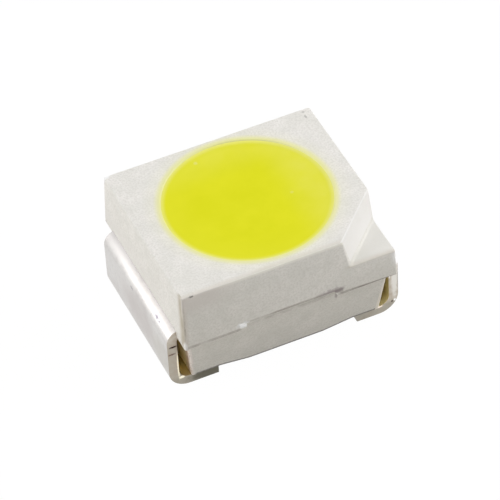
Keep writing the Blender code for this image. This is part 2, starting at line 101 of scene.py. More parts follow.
class Kind(Enum):
    """The kinds of node that the finishes and the studio are made of."""

    COORDINATES = "ShaderNodeTexCoord"
    MAPPING = "ShaderNodeMapping"
    NOISE = "ShaderNodeTexNoise"
    RANGE = "ShaderNodeMapRange"
    MATH = "ShaderNodeMath"
    VECTOR = "ShaderNodeVectorMath"
    SPLIT = "ShaderNodeSeparateXYZ"
    MIX = "ShaderNodeMix"
    BUMP = "ShaderNodeBump"
    SURFACE = "ShaderNodeBsdfPrincipled"
    EMISSION = "ShaderNodeEmission"
    MIX_SURFACES = "ShaderNodeMixShader"
    RAY = "ShaderNodeLightPath"
    MATERIAL_OUTPUT = "ShaderNodeOutputMaterial"
    BACKGROUND = "ShaderNodeBackground"
    WORLD_OUTPUT = "ShaderNodeOutputWorld"


def linear(code: str) -> tuple[float, float, float, float]:
    """Turn an sRGB hex colour into the linear values that a shader takes.

    Args:
        code: the colour as "#RRGGBB".

    Returns:
        Red, green, blue and an alpha of 1.
    """
    channels = [int(code[start:start + 2], 16) / 255 for start in (1, 3, 5)]
    values = [c / 12.92 if c <= 0.04045 else ((c + 0.055) / 1.055) ** 2.4 for c in channels]
    return (values[0], values[1], values[2], 1.0)


def per_mm(size: float) -> float:
    """Pattern scale at which a texture's features are about this many millimetres wide."""
    return 1.0 / (size * MM)


def lean(angle: float) -> float:
    """How far a wall leans over in each millimetre of its height, at an angle in degrees."""
    return math.tan(math.radians(angle))


def clear_selection() -> None:
    """Leave edit mode and select nothing."""
    if bpy.context.mode != "OBJECT":
        bpy.ops.object.mode_set(mode="OBJECT")
    bpy.ops.object.select_all(action="DESELECT")


def take(obj: bpy.types.Object) -> None:
    """Make one object the only selected one and the active one.

    Args:
        obj: the object.
    """
    clear_selection()
    obj.select_set(True)
    bpy.context.view_layer.objects.active = obj


@contextmanager
def editing(obj: bpy.types.Object, pick: Pick) -> Iterator[None]:
    """Work on an object's mesh in edit mode, with nothing selected at first.

    Args:
        obj: the object to edit.
        pick: what its selections are made of.

    Yields:
        Nothing, while the object is in edit mode.
    """
    take(obj)
    bpy.ops.object.mode_set(mode="EDIT")
    bpy.ops.mesh.select_mode(type=pick.value)
    bpy.ops.mesh.select_all(action="DESELECT")
    yield
    bpy.ops.object.mode_set(mode="OBJECT")


def select(pick: Pick, test: Callable[[Any], bool]) -> None:
    """Select the faces, edges or points of the mesh in edit mode that pass a test.

    Args:
        pick: what to go through.
        test: called with each face, edge or point.
    """
    data = bpy.context.object.data
    mesh = bmesh.from_edit_mesh(data)
    items = {Pick.FACES: mesh.faces, Pick.EDGES: mesh.edges, Pick.POINTS: mesh.verts}[pick]
    chosen = [item for item in items if test(item)]
    for item in items:
        item.select_set(False)
    for item in chosen:
        item.select_set(True)
    bmesh.update_edit_mesh(data)


def middle(item: Any) -> Vector:
    """Middle of an edge or a face."""
    points = [vert.co for vert in item.verts]
    return sum(points, Vector()) / len(points)


def move(offset: Sequence[float]) -> None:
    """Move what is selected."""
    bpy.ops.transform.translate(value=offset)


def stretch(factors: Sequence[float], about: Sequence[float] = (0.0, 0.0, 0.0)) -> None:
    """Scale what is selected about a point."""
    bpy.ops.transform.resize(value=factors, center_override=about)


def extrude(offset: Sequence[float]) -> None:
    """Extrude the selected faces by an offset."""
    bpy.ops.mesh.extrude_region_move(TRANSFORM_OT_translate={"value": offset})


def name_primitive(name: str) -> bpy.types.Object:
    """Name the primitive that was just added and put its place into its mesh.

    Args:
        name: its new name.

    Returns:
        Its object, which stands at the origin.
    """
    obj = bpy.context.object
    obj.name = name
    obj.data.name = name
    bpy.ops.object.transform_apply(location=True, rotation=True, scale=True)
    return obj


def add_box(name: str, low: Sequence[float], high: Sequence[float]) -> bpy.types.Object:
    """Add a box between two corners.

    Args:
        name: the new object's name.
        low: lowest corner.
        high: highest corner.

    Returns:
        The box, with its place in its mesh.
    """
    clear_selection()
    centre = [(a + b) / 2 for a, b in zip(low, high)]
    size = [b - a for a, b in zip(low, high)]
    bpy.ops.mesh.primitive_cube_add(size=1.0, location=centre, scale=size)
    return name_primitive(name)


def combine(target: bpy.types.Object, tool: bpy.types.Object, operation: str = "DIFFERENCE") -> None:
    """Cut or join a piece with another one, which is used up.

    Args:
        target: the piece that stays.
        tool: the piece that cuts or is joined.
        operation: the Boolean modifier's operation.
    """
    take(target)
    modifier = target.modifiers.new(tool.name, "BOOLEAN")
    modifier.operation = operation
    modifier.solver = "EXACT"
    modifier.object = tool
    bpy.ops.object.modifier_apply(modifier=modifier.name)
    bpy.data.objects.remove(tool, do_unlink=True)


def round_edges(obj: bpy.types.Object, radius: float, segments: int, angle: float = 35.0) -> None:
    """Round all edges of a piece that are sharper than an angle.

    Args:
        obj: the piece.
        radius: width of the rounding.
        segments: how many strips it has.
        angle: in degrees.
    """
    take(obj)
    modifier = obj.modifiers.new("Edge radius", "BEVEL")
    modifier.width = radius
    modifier.segments = segments
    modifier.limit_method = "ANGLE"
    modifier.angle_limit = math.radians(angle)
    modifier.use_clamp_overlap = True
    bpy.ops.object.modifier_apply(modifier=modifier.name)


def finish_mesh(obj: bpy.types.Object, smooth_angle: float = 32.0) -> None:
    """Weld and smooth a piece that was modelled in millimetres, and bring it to metres.

    Args:
        obj: the piece.
        smooth_angle: edges sharper than this, in degrees, stay sharp.
    """
    with editing(obj, Pick.POINTS):
        bpy.ops.mesh.select_all(action="SELECT")
        bpy.ops.mesh.remove_doubles(threshold=WELD)
        bpy.ops.mesh.normals_make_consistent(inside=False)
    take(obj)
    bpy.ops.object.shade_smooth_by_angle(angle=math.radians(smooth_angle))
    obj.data.transform(Matrix.Scale(MM, 4))
    obj.data.update()


@dataclass(frozen=True)
class Package:
    """The sizes that all pieces share, in millimetres, as in the part's source.

    The cup's centre alone is the photograph's, a little off the middle.
    """

    length: float = 3.5
    height: float = 1.9
    body_length: float = 3.2
    body_width: float = 2.8
    parting: float = 1.02
    belly: float = 0.10
    pocket_height: float = 0.17
    ramp_start: float = 1.00
    ramp_end: float = 0.56
    setback: float = 0.07
    upper_end_draft: float = 1.5
    upper_side_draft: float = 4.0
    lower_end_draft: float = 6.5
    lower_side_draft: float = 12.0
    mouth: float = 2.4
    floor: float = 1.8
    cup_centre: tuple[float, float] = (0.02, 0.028)
    lead_rise: float = 0.06
    sheet: float = 0.15
    gap: float = 0.003

    @property
    def lead_top(self) -> float:
        """Height of the upper face of the pads."""
        return self.parting + self.lead_rise

    def upper_half(self, height: float) -> tuple[float, float]:
        """Measure the upper half's outside at a height.

        Args:
            height: the height in millimetres.

        Returns:
            Half its length and half its width.
        """
        rise = height - self.parting
        return (self.body_length / 2 - rise * lean(self.upper_end_draft),
                self.body_width / 2 - rise * lean(self.upper_side_draft))

    def lower_half(self, height: float) -> tuple[float, float]:
        """Measure the lower half's outside at a height.

        Args:
            height: the height in millimetres.

        Returns:
            Half its length and half its width.
        """
        depth = self.parting - height
        return (self.body_length / 2 - self.setback - depth * lean(self.lower_end_draft),
                self.body_width / 2 - self.setback - depth * lean(self.lower_side_draft))

    def cup_radius(self, height: float) -> float:
        """Radius of the cup's wall at a height."""
        share = (height - self.lead_top) / (self.height - self.lead_top)
        return (self.floor + (self.mouth - self.floor) * share) / 2


def add_node(tree: bpy.types.NodeTree, kind: Kind, settings: dict[Any, Any] | None = None,
             links: dict[Any, Any] | None = None) -> bpy.types.Node:
    """Add a node with its settings and its links.

    Args:
        tree: the node tree.
        kind: what the node does.
        settings: values by the name of a property, or by the name or number of an input.
        links: what to read, by the name or number of an input. A node gives its first output in use.

    Returns:
        The node.
    """
    node = tree.nodes.new(kind.value)
    for key, value in (settings or {}).items():
        if isinstance(key, str) and key.islower():
            setattr(node, key, value)
        else:
            node.inputs[key].default_value = value
    for key, source in (links or {}).items():
        if isinstance(source, bpy.types.Node):
            source = next(output for output in source.outputs if output.enabled)
        tree.links.new(source, node.inputs[key])
    return node


def add_patches(tree: bpy.types.NodeTree, place: Any, size: float, detail: float = 3.0,
                spread: tuple[float, float] = (0.35, 0.65),
                levels: tuple[float, float] = (0.0, 1.0)) -> bpy.types.Node:
    """Add a cloudy pattern of soft patches.

    Args:
        tree: the node tree.
        place: the object's coordinates.
        size: about how wide the patches are, in millimetres.
        detail: how many finer patterns are laid into it.
        spread: values of the noise at which the patches begin and are there in full.
        levels: what the pattern gives at these two.

    Returns:
        The node that gives the pattern.
    """
    noise = add_node(tree, Kind.NOISE, {"Scale": per_mm(size), "Detail": detail}, {"Vector": place})
    return add_node(tree, Kind.RANGE, {
        "From Min": spread[0],
        "From Max": spread[1],
        "To Min": levels[0],
        "To Max": levels[1],
    }, {"Value": noise})


def from_cup_middle(tree: bpy.types.NodeTree, place: Any, package: Package) -> bpy.types.Node:
    """Measure how far a surface is from the cup's upright middle line.

    Args:
        tree: the node tree.
        place: the object's coordinates.
        package: the shared sizes.

    Returns:
        The node that gives the distance.
    """
    across, along = package.cup_centre
    offset = add_node(tree, Kind.MAPPING, {
        "Location": (-across * MM, -along * MM, 0.0),
        "Scale": (1.0, 1.0, 0.0),
    }, {"Vector": place})
    return add_node(tree, Kind.VECTOR, {"operation": "LENGTH"}, {0: offset})


@dataclass(frozen=True)
class Mark:
    """A spot, scratch or stain at one place on a surface.

    Attributes:
        place: its middle, in millimetres.
        reach: how far it spreads along X, Y and Z, in millimetres.
        colour: its sRGB hex colour.
        strength: how far the surface takes that colour in the middle.
        ragged: how much its outline wanders, as a share of its reach.
        core: share of its reach that has the full strength.
    """

    place: tuple[float, float, float]
    reach: tuple[float, float, float]
    colour: str
    strength: float = 0.6
    ragged: float = 0.5
    core: float = 0.35

    def paint(self, tree: bpy.types.NodeTree, place: bpy.types.NodeSocket, colour: Any) -> bpy.types.Node:
        """Lay the mark over a colour.

        Args:
            tree: the node tree.
            place: the object's coordinates.
            colour: the colour below.

        Returns:
            The node that gives the colour with the mark.
        """
        around = add_node(tree, Kind.MAPPING, {
            "vector_type": "TEXTURE",
            "Location": [value * MM for value in self.place],
            "Scale": [value * MM for value in self.reach],
        }, {"Vector": place})
        distance = add_node(tree, Kind.VECTOR, {"operation": "LENGTH"}, {0: around})
        wander = add_node(tree, Kind.NOISE, {
            "Scale": per_mm(min(self.reach)),
            "Detail": 2.0,
        }, {"Vector": place})
        outline = add_node(tree, Kind.MATH, {
            "operation": "MULTIPLY_ADD",
            1: 2.0 * self.ragged,
        }, {0: wander, 2: distance})
        share = add_node(tree, Kind.RANGE, {
            "interpolation_type": "SMOOTHSTEP",
            "From Min": 1.0 + self.ragged,
            "From Max": self.core + self.ragged,
            "To Max": self.strength,
        }, {"Value": outline})
        return add_node(tree, Kind.MIX, {
            "data_type": "RGBA",
            7: linear(self.colour),
        }, {0: share, 6: colour})


@dataclass(frozen=True)
class Border:
    """A soft straight border of a zone.

    Attributes:
        way: how much of X, Y and Z adds up to the distance that it goes by.
        outside: distance in millimetres at which the zone hasn't begun.
        inside: distance in millimetres at which the zone is there in full.
    """

    way: tuple[float, float, float]
    outside: float
    inside: float


@dataclass(frozen=True)
class Zone:
    """A part of a surface, inside soft borders, with a colour of its own.

    Attributes:
        colour: its sRGB hex colour.
        borders: what bounds it.
        strength: how far the surface takes the colour where it is strongest.
        least: how far it does where it is weakest.
        patch: size in millimetres of the patches between the two.
        spread: values of the pattern at which it is weakest and strongest.
        mirrored: whether it is the same at both ends and on both sides.
    """

    colour: str
    borders: tuple[Border, ...]
    strength: float = 1.0
    least: float = 0.0
    patch: float = 0.2
    spread: tuple[float, float] = (0.36, 0.60)
    mirrored: bool = False

    def paint(self, tree: bpy.types.NodeTree, place: bpy.types.NodeSocket, colour: Any) -> bpy.types.Node:
        """Lay the zone over a colour.

        Args:
            tree: the node tree.
            place: the object's coordinates.
            colour: the colour below.

        Returns:
            The node that gives the colour with the zone.
        """
        share = add_patches(tree, place, self.patch, 3.0, self.spread, (self.least, self.strength))
        folded = place
        if self.mirrored:
            folded = add_node(tree, Kind.VECTOR, {"operation": "ABSOLUTE"}, {0: place})
        for border in self.borders:
            distance = add_node(tree, Kind.VECTOR, {
                "operation": "DOT_PRODUCT",
                1: border.way,
            }, {0: folded})
            edge = add_node(tree, Kind.RANGE, {
                "interpolation_type": "SMOOTHSTEP",
                "From Min": border.outside * MM,
                "From Max": border.inside * MM,
            }, {"Value": distance})
            share = add_node(tree, Kind.MATH, {"operation": "MULTIPLY"}, {0: share, 1: edge})
        return add_node(tree, Kind.MIX, {
            "data_type": "RGBA",
            7: linear(self.colour),
        }, {0: share, 6: colour})


@dataclass(frozen=True)
class Finish:
    """A surface finish.

    Attributes:
        name: what the real material is, and how its surface was made.
        zones: parts of the surface with a colour of their own.
        marks: spots and stains on it.
    """

    name: str
    zones: tuple[Zone, ...] = ()
    marks: tuple[Mark, ...] = ()

    def layers(self, tree: bpy.types.NodeTree, place: bpy.types.NodeSocket) -> Layers:
        """Add the nodes that lead to the shader, and give its settings and its links."""
        raise NotImplementedError

    def weather(self, tree: bpy.types.NodeTree, place: bpy.types.NodeSocket, colour: Any) -> Any:
        """Lay the zones and then the marks over a colour.

        Args:
            tree: the node tree.
            place: the object's coordinates.
            colour: the clean colour.

        Returns:
            The node that gives the weathered colour.
        """
        for layer in (*self.zones, *self.marks):
            colour = layer.paint(tree, place, colour)
        return colour

    def build(self) -> bpy.types.Material:
        """Build the material.

        Returns:
            The material, with its pattern on the object's own coordinates.
        """
        material = bpy.data.materials.new(self.name)
        material.use_nodes = True
        tree = material.node_tree
        tree.nodes.clear()
        place = add_node(tree, Kind.COORDINATES).outputs["Object"]
        settings, links = self.layers(tree, place)
        surface = add_node(tree, Kind.SURFACE, settings, links)
        add_node(tree, Kind.MATERIAL_OUTPUT, None, {"Surface": surface})
        return material


@dataclass(frozen=True)
class MouldedPolyamide(Finish):
    """White filled polyamide, injection moulded.

    Its filler makes it an even, slightly warm white with faint darker pits. The mould's spark-eroded
    steel leaves it matt, so it has broad, faint highlights and a fine grain. The real grain is a few
    thousandths of a millimetre and is drawn at two pixels of the photograph, so that it shows.

    Attributes:
        white, shade: colours of the mottle, whose patches are mottle millimetres wide.
        pit: colour of the fine pits, whose grain is grain millimetres wide.
        glow: colour of the painted light that the filling throws onto the cup's rim, from rim_radius out
        over rim_width and from the first to the second of the glow_heights.
        hem: colour of the painted shade on the lower edge, full up to hem_full above the underside and gone
        at hem_end, where hem_skin keeps it off the underside and hem_ends off both end walls.
        unevenness: size in millimetres of the patches that are a little rougher.
    """

    white: str = "#F4F1EC"
    shade: str = "#EBE9E3"
    pit: str = "#DCD9D2"
    glow: str = "#ECEA9E"
    hem: str = "#4E4840"
    package: Package = Package()
    grain: float = 0.028
    mottle: float = 0.22
    unevenness: float = 0.12
    rim_radius: float = 1.200
    rim_width: float = 0.11
    glow_heights: tuple[float, float] = (1.80, 1.86)
    hem_full: float = 0.022
    hem_end: float = 0.054
    hem_skin: tuple[float, float] = (0.0005, 0.002)
    hem_ends: tuple[float, float] = (1.375, 1.340)

    def paint_rim_glow(self, tree: bpy.types.NodeTree, place: Any, height: Any, colour: Any) -> bpy.types.Node:
        """Paint the yellow light that the filling throws onto the rim that it touches.

        Args:
            tree: the node tree.
            place: the object's coordinates.
            height: what gives the height.
            colour: the colour below.

        Returns:
            The node that gives the tinted colour.
        """
        near_rim = add_node(tree, Kind.RANGE, {
            "interpolation_type": "SMOOTHSTEP",
            "From Min": (self.rim_radius + self.rim_width) * MM,
            "From Max": self.rim_radius * MM,
        }, {"Value": from_cup_middle(tree, place, self.package)})
        near_top = add_node(tree, Kind.RANGE, {
            "From Min": self.glow_heights[0] * MM,
            "From Max": self.glow_heights[1] * MM,
        }, {"Value": height})
        glow_share = add_node(tree, Kind.MATH, {"operation": "MULTIPLY"}, {0: near_rim, 1: near_top})
        return add_node(tree, Kind.MIX, {"data_type": "RGBA", 7: linear(self.glow)}, {0: glow_share, 6: colour})

    def shade_hem(self, tree: bpy.types.NodeTree, length: Any, height: Any, colour: Any) -> bpy.types.Node:
        """Paint shade along the lower edge of both long sides, which rises over the feet.

        Args:
            tree: the node tree.
            length: what gives the distance from the middle along X.
            height: what gives the height.
            colour: the colour below.

        Returns:
            The node that gives the colour with the painted shade.
        """
        pack = self.package
        underside = add_node(tree, Kind.RANGE, {
            "From Min": pack.ramp_end * MM,
            "From Max": pack.ramp_start * MM,
            "To Min": pack.belly * MM,
            "To Max": pack.pocket_height * MM,
        }, {"Value": length})
        above = add_node(tree, Kind.MATH, {"operation": "SUBTRACT"}, {0: height, 1: underside})
        hem = add_node(tree, Kind.RANGE, {
            "interpolation_type": "SMOOTHSTEP",
            "From Min": self.hem_end * MM,
            "From Max": self.hem_full * MM,
            "To Max": 0.9,
        }, {"Value": above})
        end = add_node(tree, Kind.MATH, {
            "operation": "MULTIPLY_ADD",
            1: -lean(pack.lower_end_draft),
        }, {0: height, 2: length})
        for limits, distance in ((self.hem_skin, above), (self.hem_ends, end)):
            within = add_node(tree, Kind.RANGE, {
                "From Min": limits[0] * MM,
                "From Max": limits[1] * MM,
            }, {"Value": distance})
            hem = add_node(tree, Kind.MATH, {"operation": "MULTIPLY"}, {0: hem, 1: within})
        return add_node(tree, Kind.MIX, {"data_type": "RGBA", 7: linear(self.hem)}, {0: hem, 6: colour})

    def layers(self, tree: bpy.types.NodeTree, place: bpy.types.NodeSocket) -> Layers:
        """Add the mottled white, the pits, the painted light at the cup's rim, the painted shade on the hem
        and the grain.

        Args:
            tree: the node tree.
            place: the object's coordinates.

        Returns:
            The shader's settings and its links.
        """
        cloud = add_patches(tree, place, self.mottle)
        colour = add_node(tree, Kind.MIX, {
            "data_type": "RGBA",
            6: linear(self.shade),
            7: linear(self.white),
        }, {0: cloud})
        fine = add_node(tree, Kind.NOISE, {"Scale": per_mm(self.grain), "Detail": 2.0}, {"Vector": place})
        pits = add_node(tree, Kind.RANGE, {
            "From Min": 0.40,
            "From Max": 0.65,
            "To Max": 0.60,
        }, {"Value": fine})
        colour = add_node(tree, Kind.MIX, {"data_type": "RGBA", 7: linear(self.pit)}, {0: pits, 6: colour})
        folded = add_node(tree, Kind.VECTOR, {"operation": "ABSOLUTE"}, {0: place})
        length, _, height = add_node(tree, Kind.SPLIT, None, {0: folded}).outputs
        colour = self.paint_rim_glow(tree, place, height, colour)
        colour = self.shade_hem(tree, length, height, colour)
        colour = self.weather(tree, place, colour)
        rough = add_patches(tree, place, self.unevenness, 2.0, (0.3, 0.7), (0.50, 0.60))
        grain = add_node(tree, Kind.BUMP, {"Strength": 0.35, "Distance": 0.0012 * MM}, {"Height": fine})
        return {"IOR": 1.53}, {"Base Color": colour, "Roughness": rough, "Normal": grain}


@dataclass(frozen=True)
class SilverPlate(Finish):
    """Silver-plated copper strip, rolled, with a satin plate.

    Its reflections are soft and a little hazy, in patches, and faint drag lines run along it from the
    rolls and the bending tool. The real lines are about a thousandth of a millimetre wide and are drawn
    at two pixels of the photograph, so that they show.

    Attributes:
        bright, dull: colours of the hazy patches, which are haze millimetres wide.
        speck: colour of the fine specks, which are specks millimetres wide.
        line: width in millimetres of the drag lines.
    """

    bright: str = "#D5D3D0"
    dull: str = "#C6C3C1"
    speck: str = "#AFAAA8"
    haze: float = 0.5
    specks: float = 0.05
    line: float = 0.03

    def layers(self, tree: bpy.types.NodeTree, place: bpy.types.NodeSocket) -> Layers:
        """Add the hazy patches, the fine specks and the drag lines.

        Args:
            tree: the node tree.
            place: the object's coordinates.

        Returns:
            The shader's settings and its links.
        """
        haze = add_patches(tree, place, self.haze, 3.0, (0.35, 0.70))
        colour = add_node(tree, Kind.MIX, {
            "data_type": "RGBA",
            6: linear(self.bright),
            7: linear(self.dull),
        }, {0: haze})
        dots = add_patches(tree, place, self.specks, 4.0, (0.52, 0.75), (0.0, 0.42))
        colour = add_node(tree, Kind.MIX, {
            "data_type": "RGBA",
            7: linear(self.speck),
        }, {0: dots, 6: colour})
        colour = self.weather(tree, place, colour)
        rough = add_node(tree, Kind.RANGE, {"To Min": 0.42, "To Max": 0.50}, {"Value": haze})
        drawn = add_node(tree, Kind.MAPPING, {"Scale": (0.06, 1.0, 0.06)}, {"Vector": place})
        lines = add_node(tree, Kind.NOISE, {"Scale": per_mm(self.line), "Detail": 2.0}, {"Vector": drawn})
        drag = add_node(tree, Kind.BUMP, {"Strength": 0.25, "Distance": 0.001 * MM}, {"Height": lines})
        return {"Metallic": 1.0}, {"Base Color": colour, "Roughness": rough, "Normal": drag}


@dataclass(frozen=True)
class TarnishedPlate(Finish):
    """Silver plate inside the bends, tarnished.

    Air and flux stood in the gap, so the metal has gone gold and brown there in soft patches.
    """

    light: str = "#F4EAC0"
    dark: str = "#E0D092"
    patch: float = 0.25

    def layers(self, tree: bpy.types.NodeTree, place: bpy.types.NodeSocket) -> Layers:
        """Add the patches.

        Args:
            tree: the node tree.
            place: the object's coordinates.

        Returns:
            The shader's settings and its links.
        """
        patches = add_patches(tree, place, self.patch)
        colour = add_node(tree, Kind.MIX, {
            "data_type": "RGBA",
            6: linear(self.dark),
            7: linear(self.light),
        }, {0: patches})
        colour = self.weather(tree, place, colour)
        return {"Metallic": 1.0, "Roughness": 0.45}, {"Base Color": colour}


@dataclass(frozen=True)
class ShearedEdge(Finish):
    """Copper strip's sheared edge, smeared with silver.

    The stamping tool tore the copper and dragged some plate over it, so it is dull, grey to tan and
    rough. The real tears are a few thousandths of a millimetre and are drawn as coarse as they show.

    Attributes:
        silver, copper: colours of the smears, which are smear millimetres wide.
        tear: width in millimetres of the tears.
    """

    silver: str = "#C1BAAE"
    copper: str = "#B3A899"
    smear: float = 0.09
    tear: float = 0.02

    def layers(self, tree: bpy.types.NodeTree, place: bpy.types.NodeSocket) -> Layers:
        """Add the smears and the tears.

        Args:
            tree: the node tree.
            place: the object's coordinates.

        Returns:
            The shader's settings and its links.
        """
        patches = add_patches(tree, place, self.smear)
        colour = add_node(tree, Kind.MIX, {
            "data_type": "RGBA",
            6: linear(self.copper),
            7: linear(self.silver),
        }, {0: patches})
        colour = self.weather(tree, place, colour)
        torn = add_node(tree, Kind.NOISE, {"Scale": per_mm(self.tear), "Detail": 2.0}, {"Vector": place})
        tears = add_node(tree, Kind.BUMP, {"Strength": 0.4, "Distance": 0.002 * MM}, {"Height": torn})
        return {"Metallic": 1.0, "Roughness": 0.48}, {"Base Color": colour, "Normal": tears}


@dataclass(frozen=True)
class PhosphorSilicone(Finish):
    """Silicone full of yellow phosphor powder, cast and cured.

    The powder gives it a dense lemon yellow, paler where it thins out against the wall. Its skin is
    smooth with a soft shine, and the powder at it makes that weaker than on clear silicone. The grains
    are about ten thousandths of a millimetre and are drawn twice as coarse, so that they show.

    Attributes:
        core, light: colours of the clouds, which are cloud millimetres wide, and light is the grains'.
        outer: colour that it fades to from outer_start to outer_end, measured from the cup's middle.
        edge: colour of the thin edge, from ring_start to ring_end.
        grain: size in millimetres of the grains.
    """

    core: str = "#E3E302"
    light: str = "#E8E714"
    outer: str = "#E8E61E"
    edge: str = "#F4F296"
    package: Package = Package()
    cloud: float = 0.35
    grain: float = 0.022
    outer_start: float = 0.60
    outer_end: float = 1.15
    ring_start: float = 1.115
    ring_end: float = 1.235

    def layers(self, tree: bpy.types.NodeTree, place: bpy.types.NodeSocket) -> Layers:
        """Add the clouds, the grains, the paler outer part and the thin edge.

        Args:
            tree: the node tree.
            place: the object's coordinates.

        Returns:
            The shader's settings and its links.
        """
        clouds = add_patches(tree, place, self.cloud, 3.0, (0.35, 0.70))
        colour = add_node(tree, Kind.MIX, {
            "data_type": "RGBA",
            6: linear(self.core),
            7: linear(self.light),
        }, {0: clouds})
        fine = add_node(tree, Kind.NOISE, {"Scale": per_mm(self.grain), "Detail": 2.0}, {"Vector": place})
        grains = add_node(tree, Kind.RANGE, {
            "From Min": 0.55,
            "From Max": 0.80,
            "To Max": 0.35,
        }, {"Value": fine})
        colour = add_node(tree, Kind.MIX, {
            "data_type": "RGBA",
            7: linear(self.light),
        }, {0: grains, 6: colour})
        radius = from_cup_middle(tree, place, self.package)
        outward = add_node(tree, Kind.RANGE, {
            "interpolation_type": "SMOOTHSTEP",
            "From Min": self.outer_start * MM,
            "From Max": self.outer_end * MM,
            "To Max": 0.6,
        }, {"Value": radius})
        colour = add_node(tree, Kind.MIX, {
            "data_type": "RGBA",
            7: linear(self.outer),
        }, {0: outward, 6: colour})
        colour = self.weather(tree, place, colour)
        ring = add_node(tree, Kind.RANGE, {
            "interpolation_type": "SMOOTHSTEP",
            "From Min": self.ring_start * MM,
            "From Max": self.ring_end * MM,
        }, {"Value": radius})
        colour = add_node(tree, Kind.MIX, {
            "data_type": "RGBA",
            7: linear(self.edge),
        }, {0: ring, 6: colour})
        skin = add_node(tree, Kind.BUMP, {"Strength": 0.2, "Distance": 0.001 * MM}, {"Height": fine})
        return ({"Roughness": 0.36, "IOR": 1.42, "Specular IOR Level": 0.3},
                {"Base Color": colour, "Normal": skin})


@dataclass(frozen=True)
class DrawnGold(Finish):
    """Gold wire, drawn through a die: bright yellow metal with slightly duller patches."""

    gold: str = "#F2C25A"
    worn: str = "#DDA93F"
    patch: float = 0.02

    def layers(self, tree: bpy.types.NodeTree, place: bpy.types.NodeSocket) -> Layers:
        """Add the patches, which are also a little rougher.

        Args:
            tree: the node tree.
            place: the object's coordinates.

        Returns:
            The shader's settings and its links.
        """
        patches = add_patches(tree, place, self.patch, 2.0)
        colour = add_node(tree, Kind.MIX, {
            "data_type": "RGBA",
            6: linear(self.gold),
            7: linear(self.worn),
        }, {0: patches})
        rough = add_node(tree, Kind.RANGE, {"To Min": 0.18, "To Max": 0.28}, {"Value": patches})
        return {"Metallic": 1.0}, {"Base Color": colour, "Roughness": rough}


@dataclass(frozen=True)
class GrownSapphire(Finish):
    """Sapphire with a grown crystal layer: hard, glossy and bluish, with a finely roughened top."""

    blue: str = "#A9BEDB"
    pale: str = "#C6D4E6"
    patch: float = 0.05
    pit: float = 0.004

    def layers(self, tree: bpy.types.NodeTree, place: bpy.types.NodeSocket) -> Layers:
        """Add the patches and the roughened top's pits.

        Args:
            tree: the node tree.
            place: the object's coordinates.

        Returns:
            The shader's settings and its links.
        """
        patches = add_patches(tree, place, self.patch, 2.0)
        colour = add_node(tree, Kind.MIX, {
            "data_type": "RGBA",
            6: linear(self.blue),
            7: linear(self.pale),
        }, {0: patches})
        fine = add_node(tree, Kind.NOISE, {"Scale": per_mm(self.pit), "Detail": 1.0}, {"Vector": place})
        pits = add_node(tree, Kind.BUMP, {"Strength": 0.2, "Distance": 0.0003 * MM}, {"Height": fine})
        return {"Roughness": 0.12, "IOR": 1.77}, {"Base Color": colour, "Normal": pits}


@dataclass(frozen=True)
class SilverPaste(Finish):
    """Adhesive filled with silver flakes, dispensed and cured: a dull grey paste that glints a little."""

    flake: str = "#C4C2BE"
    resin: str = "#8F8C86"
    size: float = 0.006

    def layers(self, tree: bpy.types.NodeTree, place: bpy.types.NodeSocket) -> Layers:
        """Add the flakes, which are metal, in the resin, which isn't.

        Args:
            tree: the node tree.
            place: the object's coordinates.

        Returns:
            The shader's settings and its links.
        """
        flakes = add_patches(tree, place, self.size, 2.0, (0.4, 0.6))
        colour = add_node(tree, Kind.MIX, {
            "data_type": "RGBA",
            6: linear(self.resin),
            7: linear(self.flake),
        }, {0: flakes})
        metal = add_node(tree, Kind.RANGE, {"To Min": 0.2, "To Max": 0.9}, {"Value": flakes})
        return {"Roughness": 0.5}, {"Base Color": colour, "Metallic": metal}


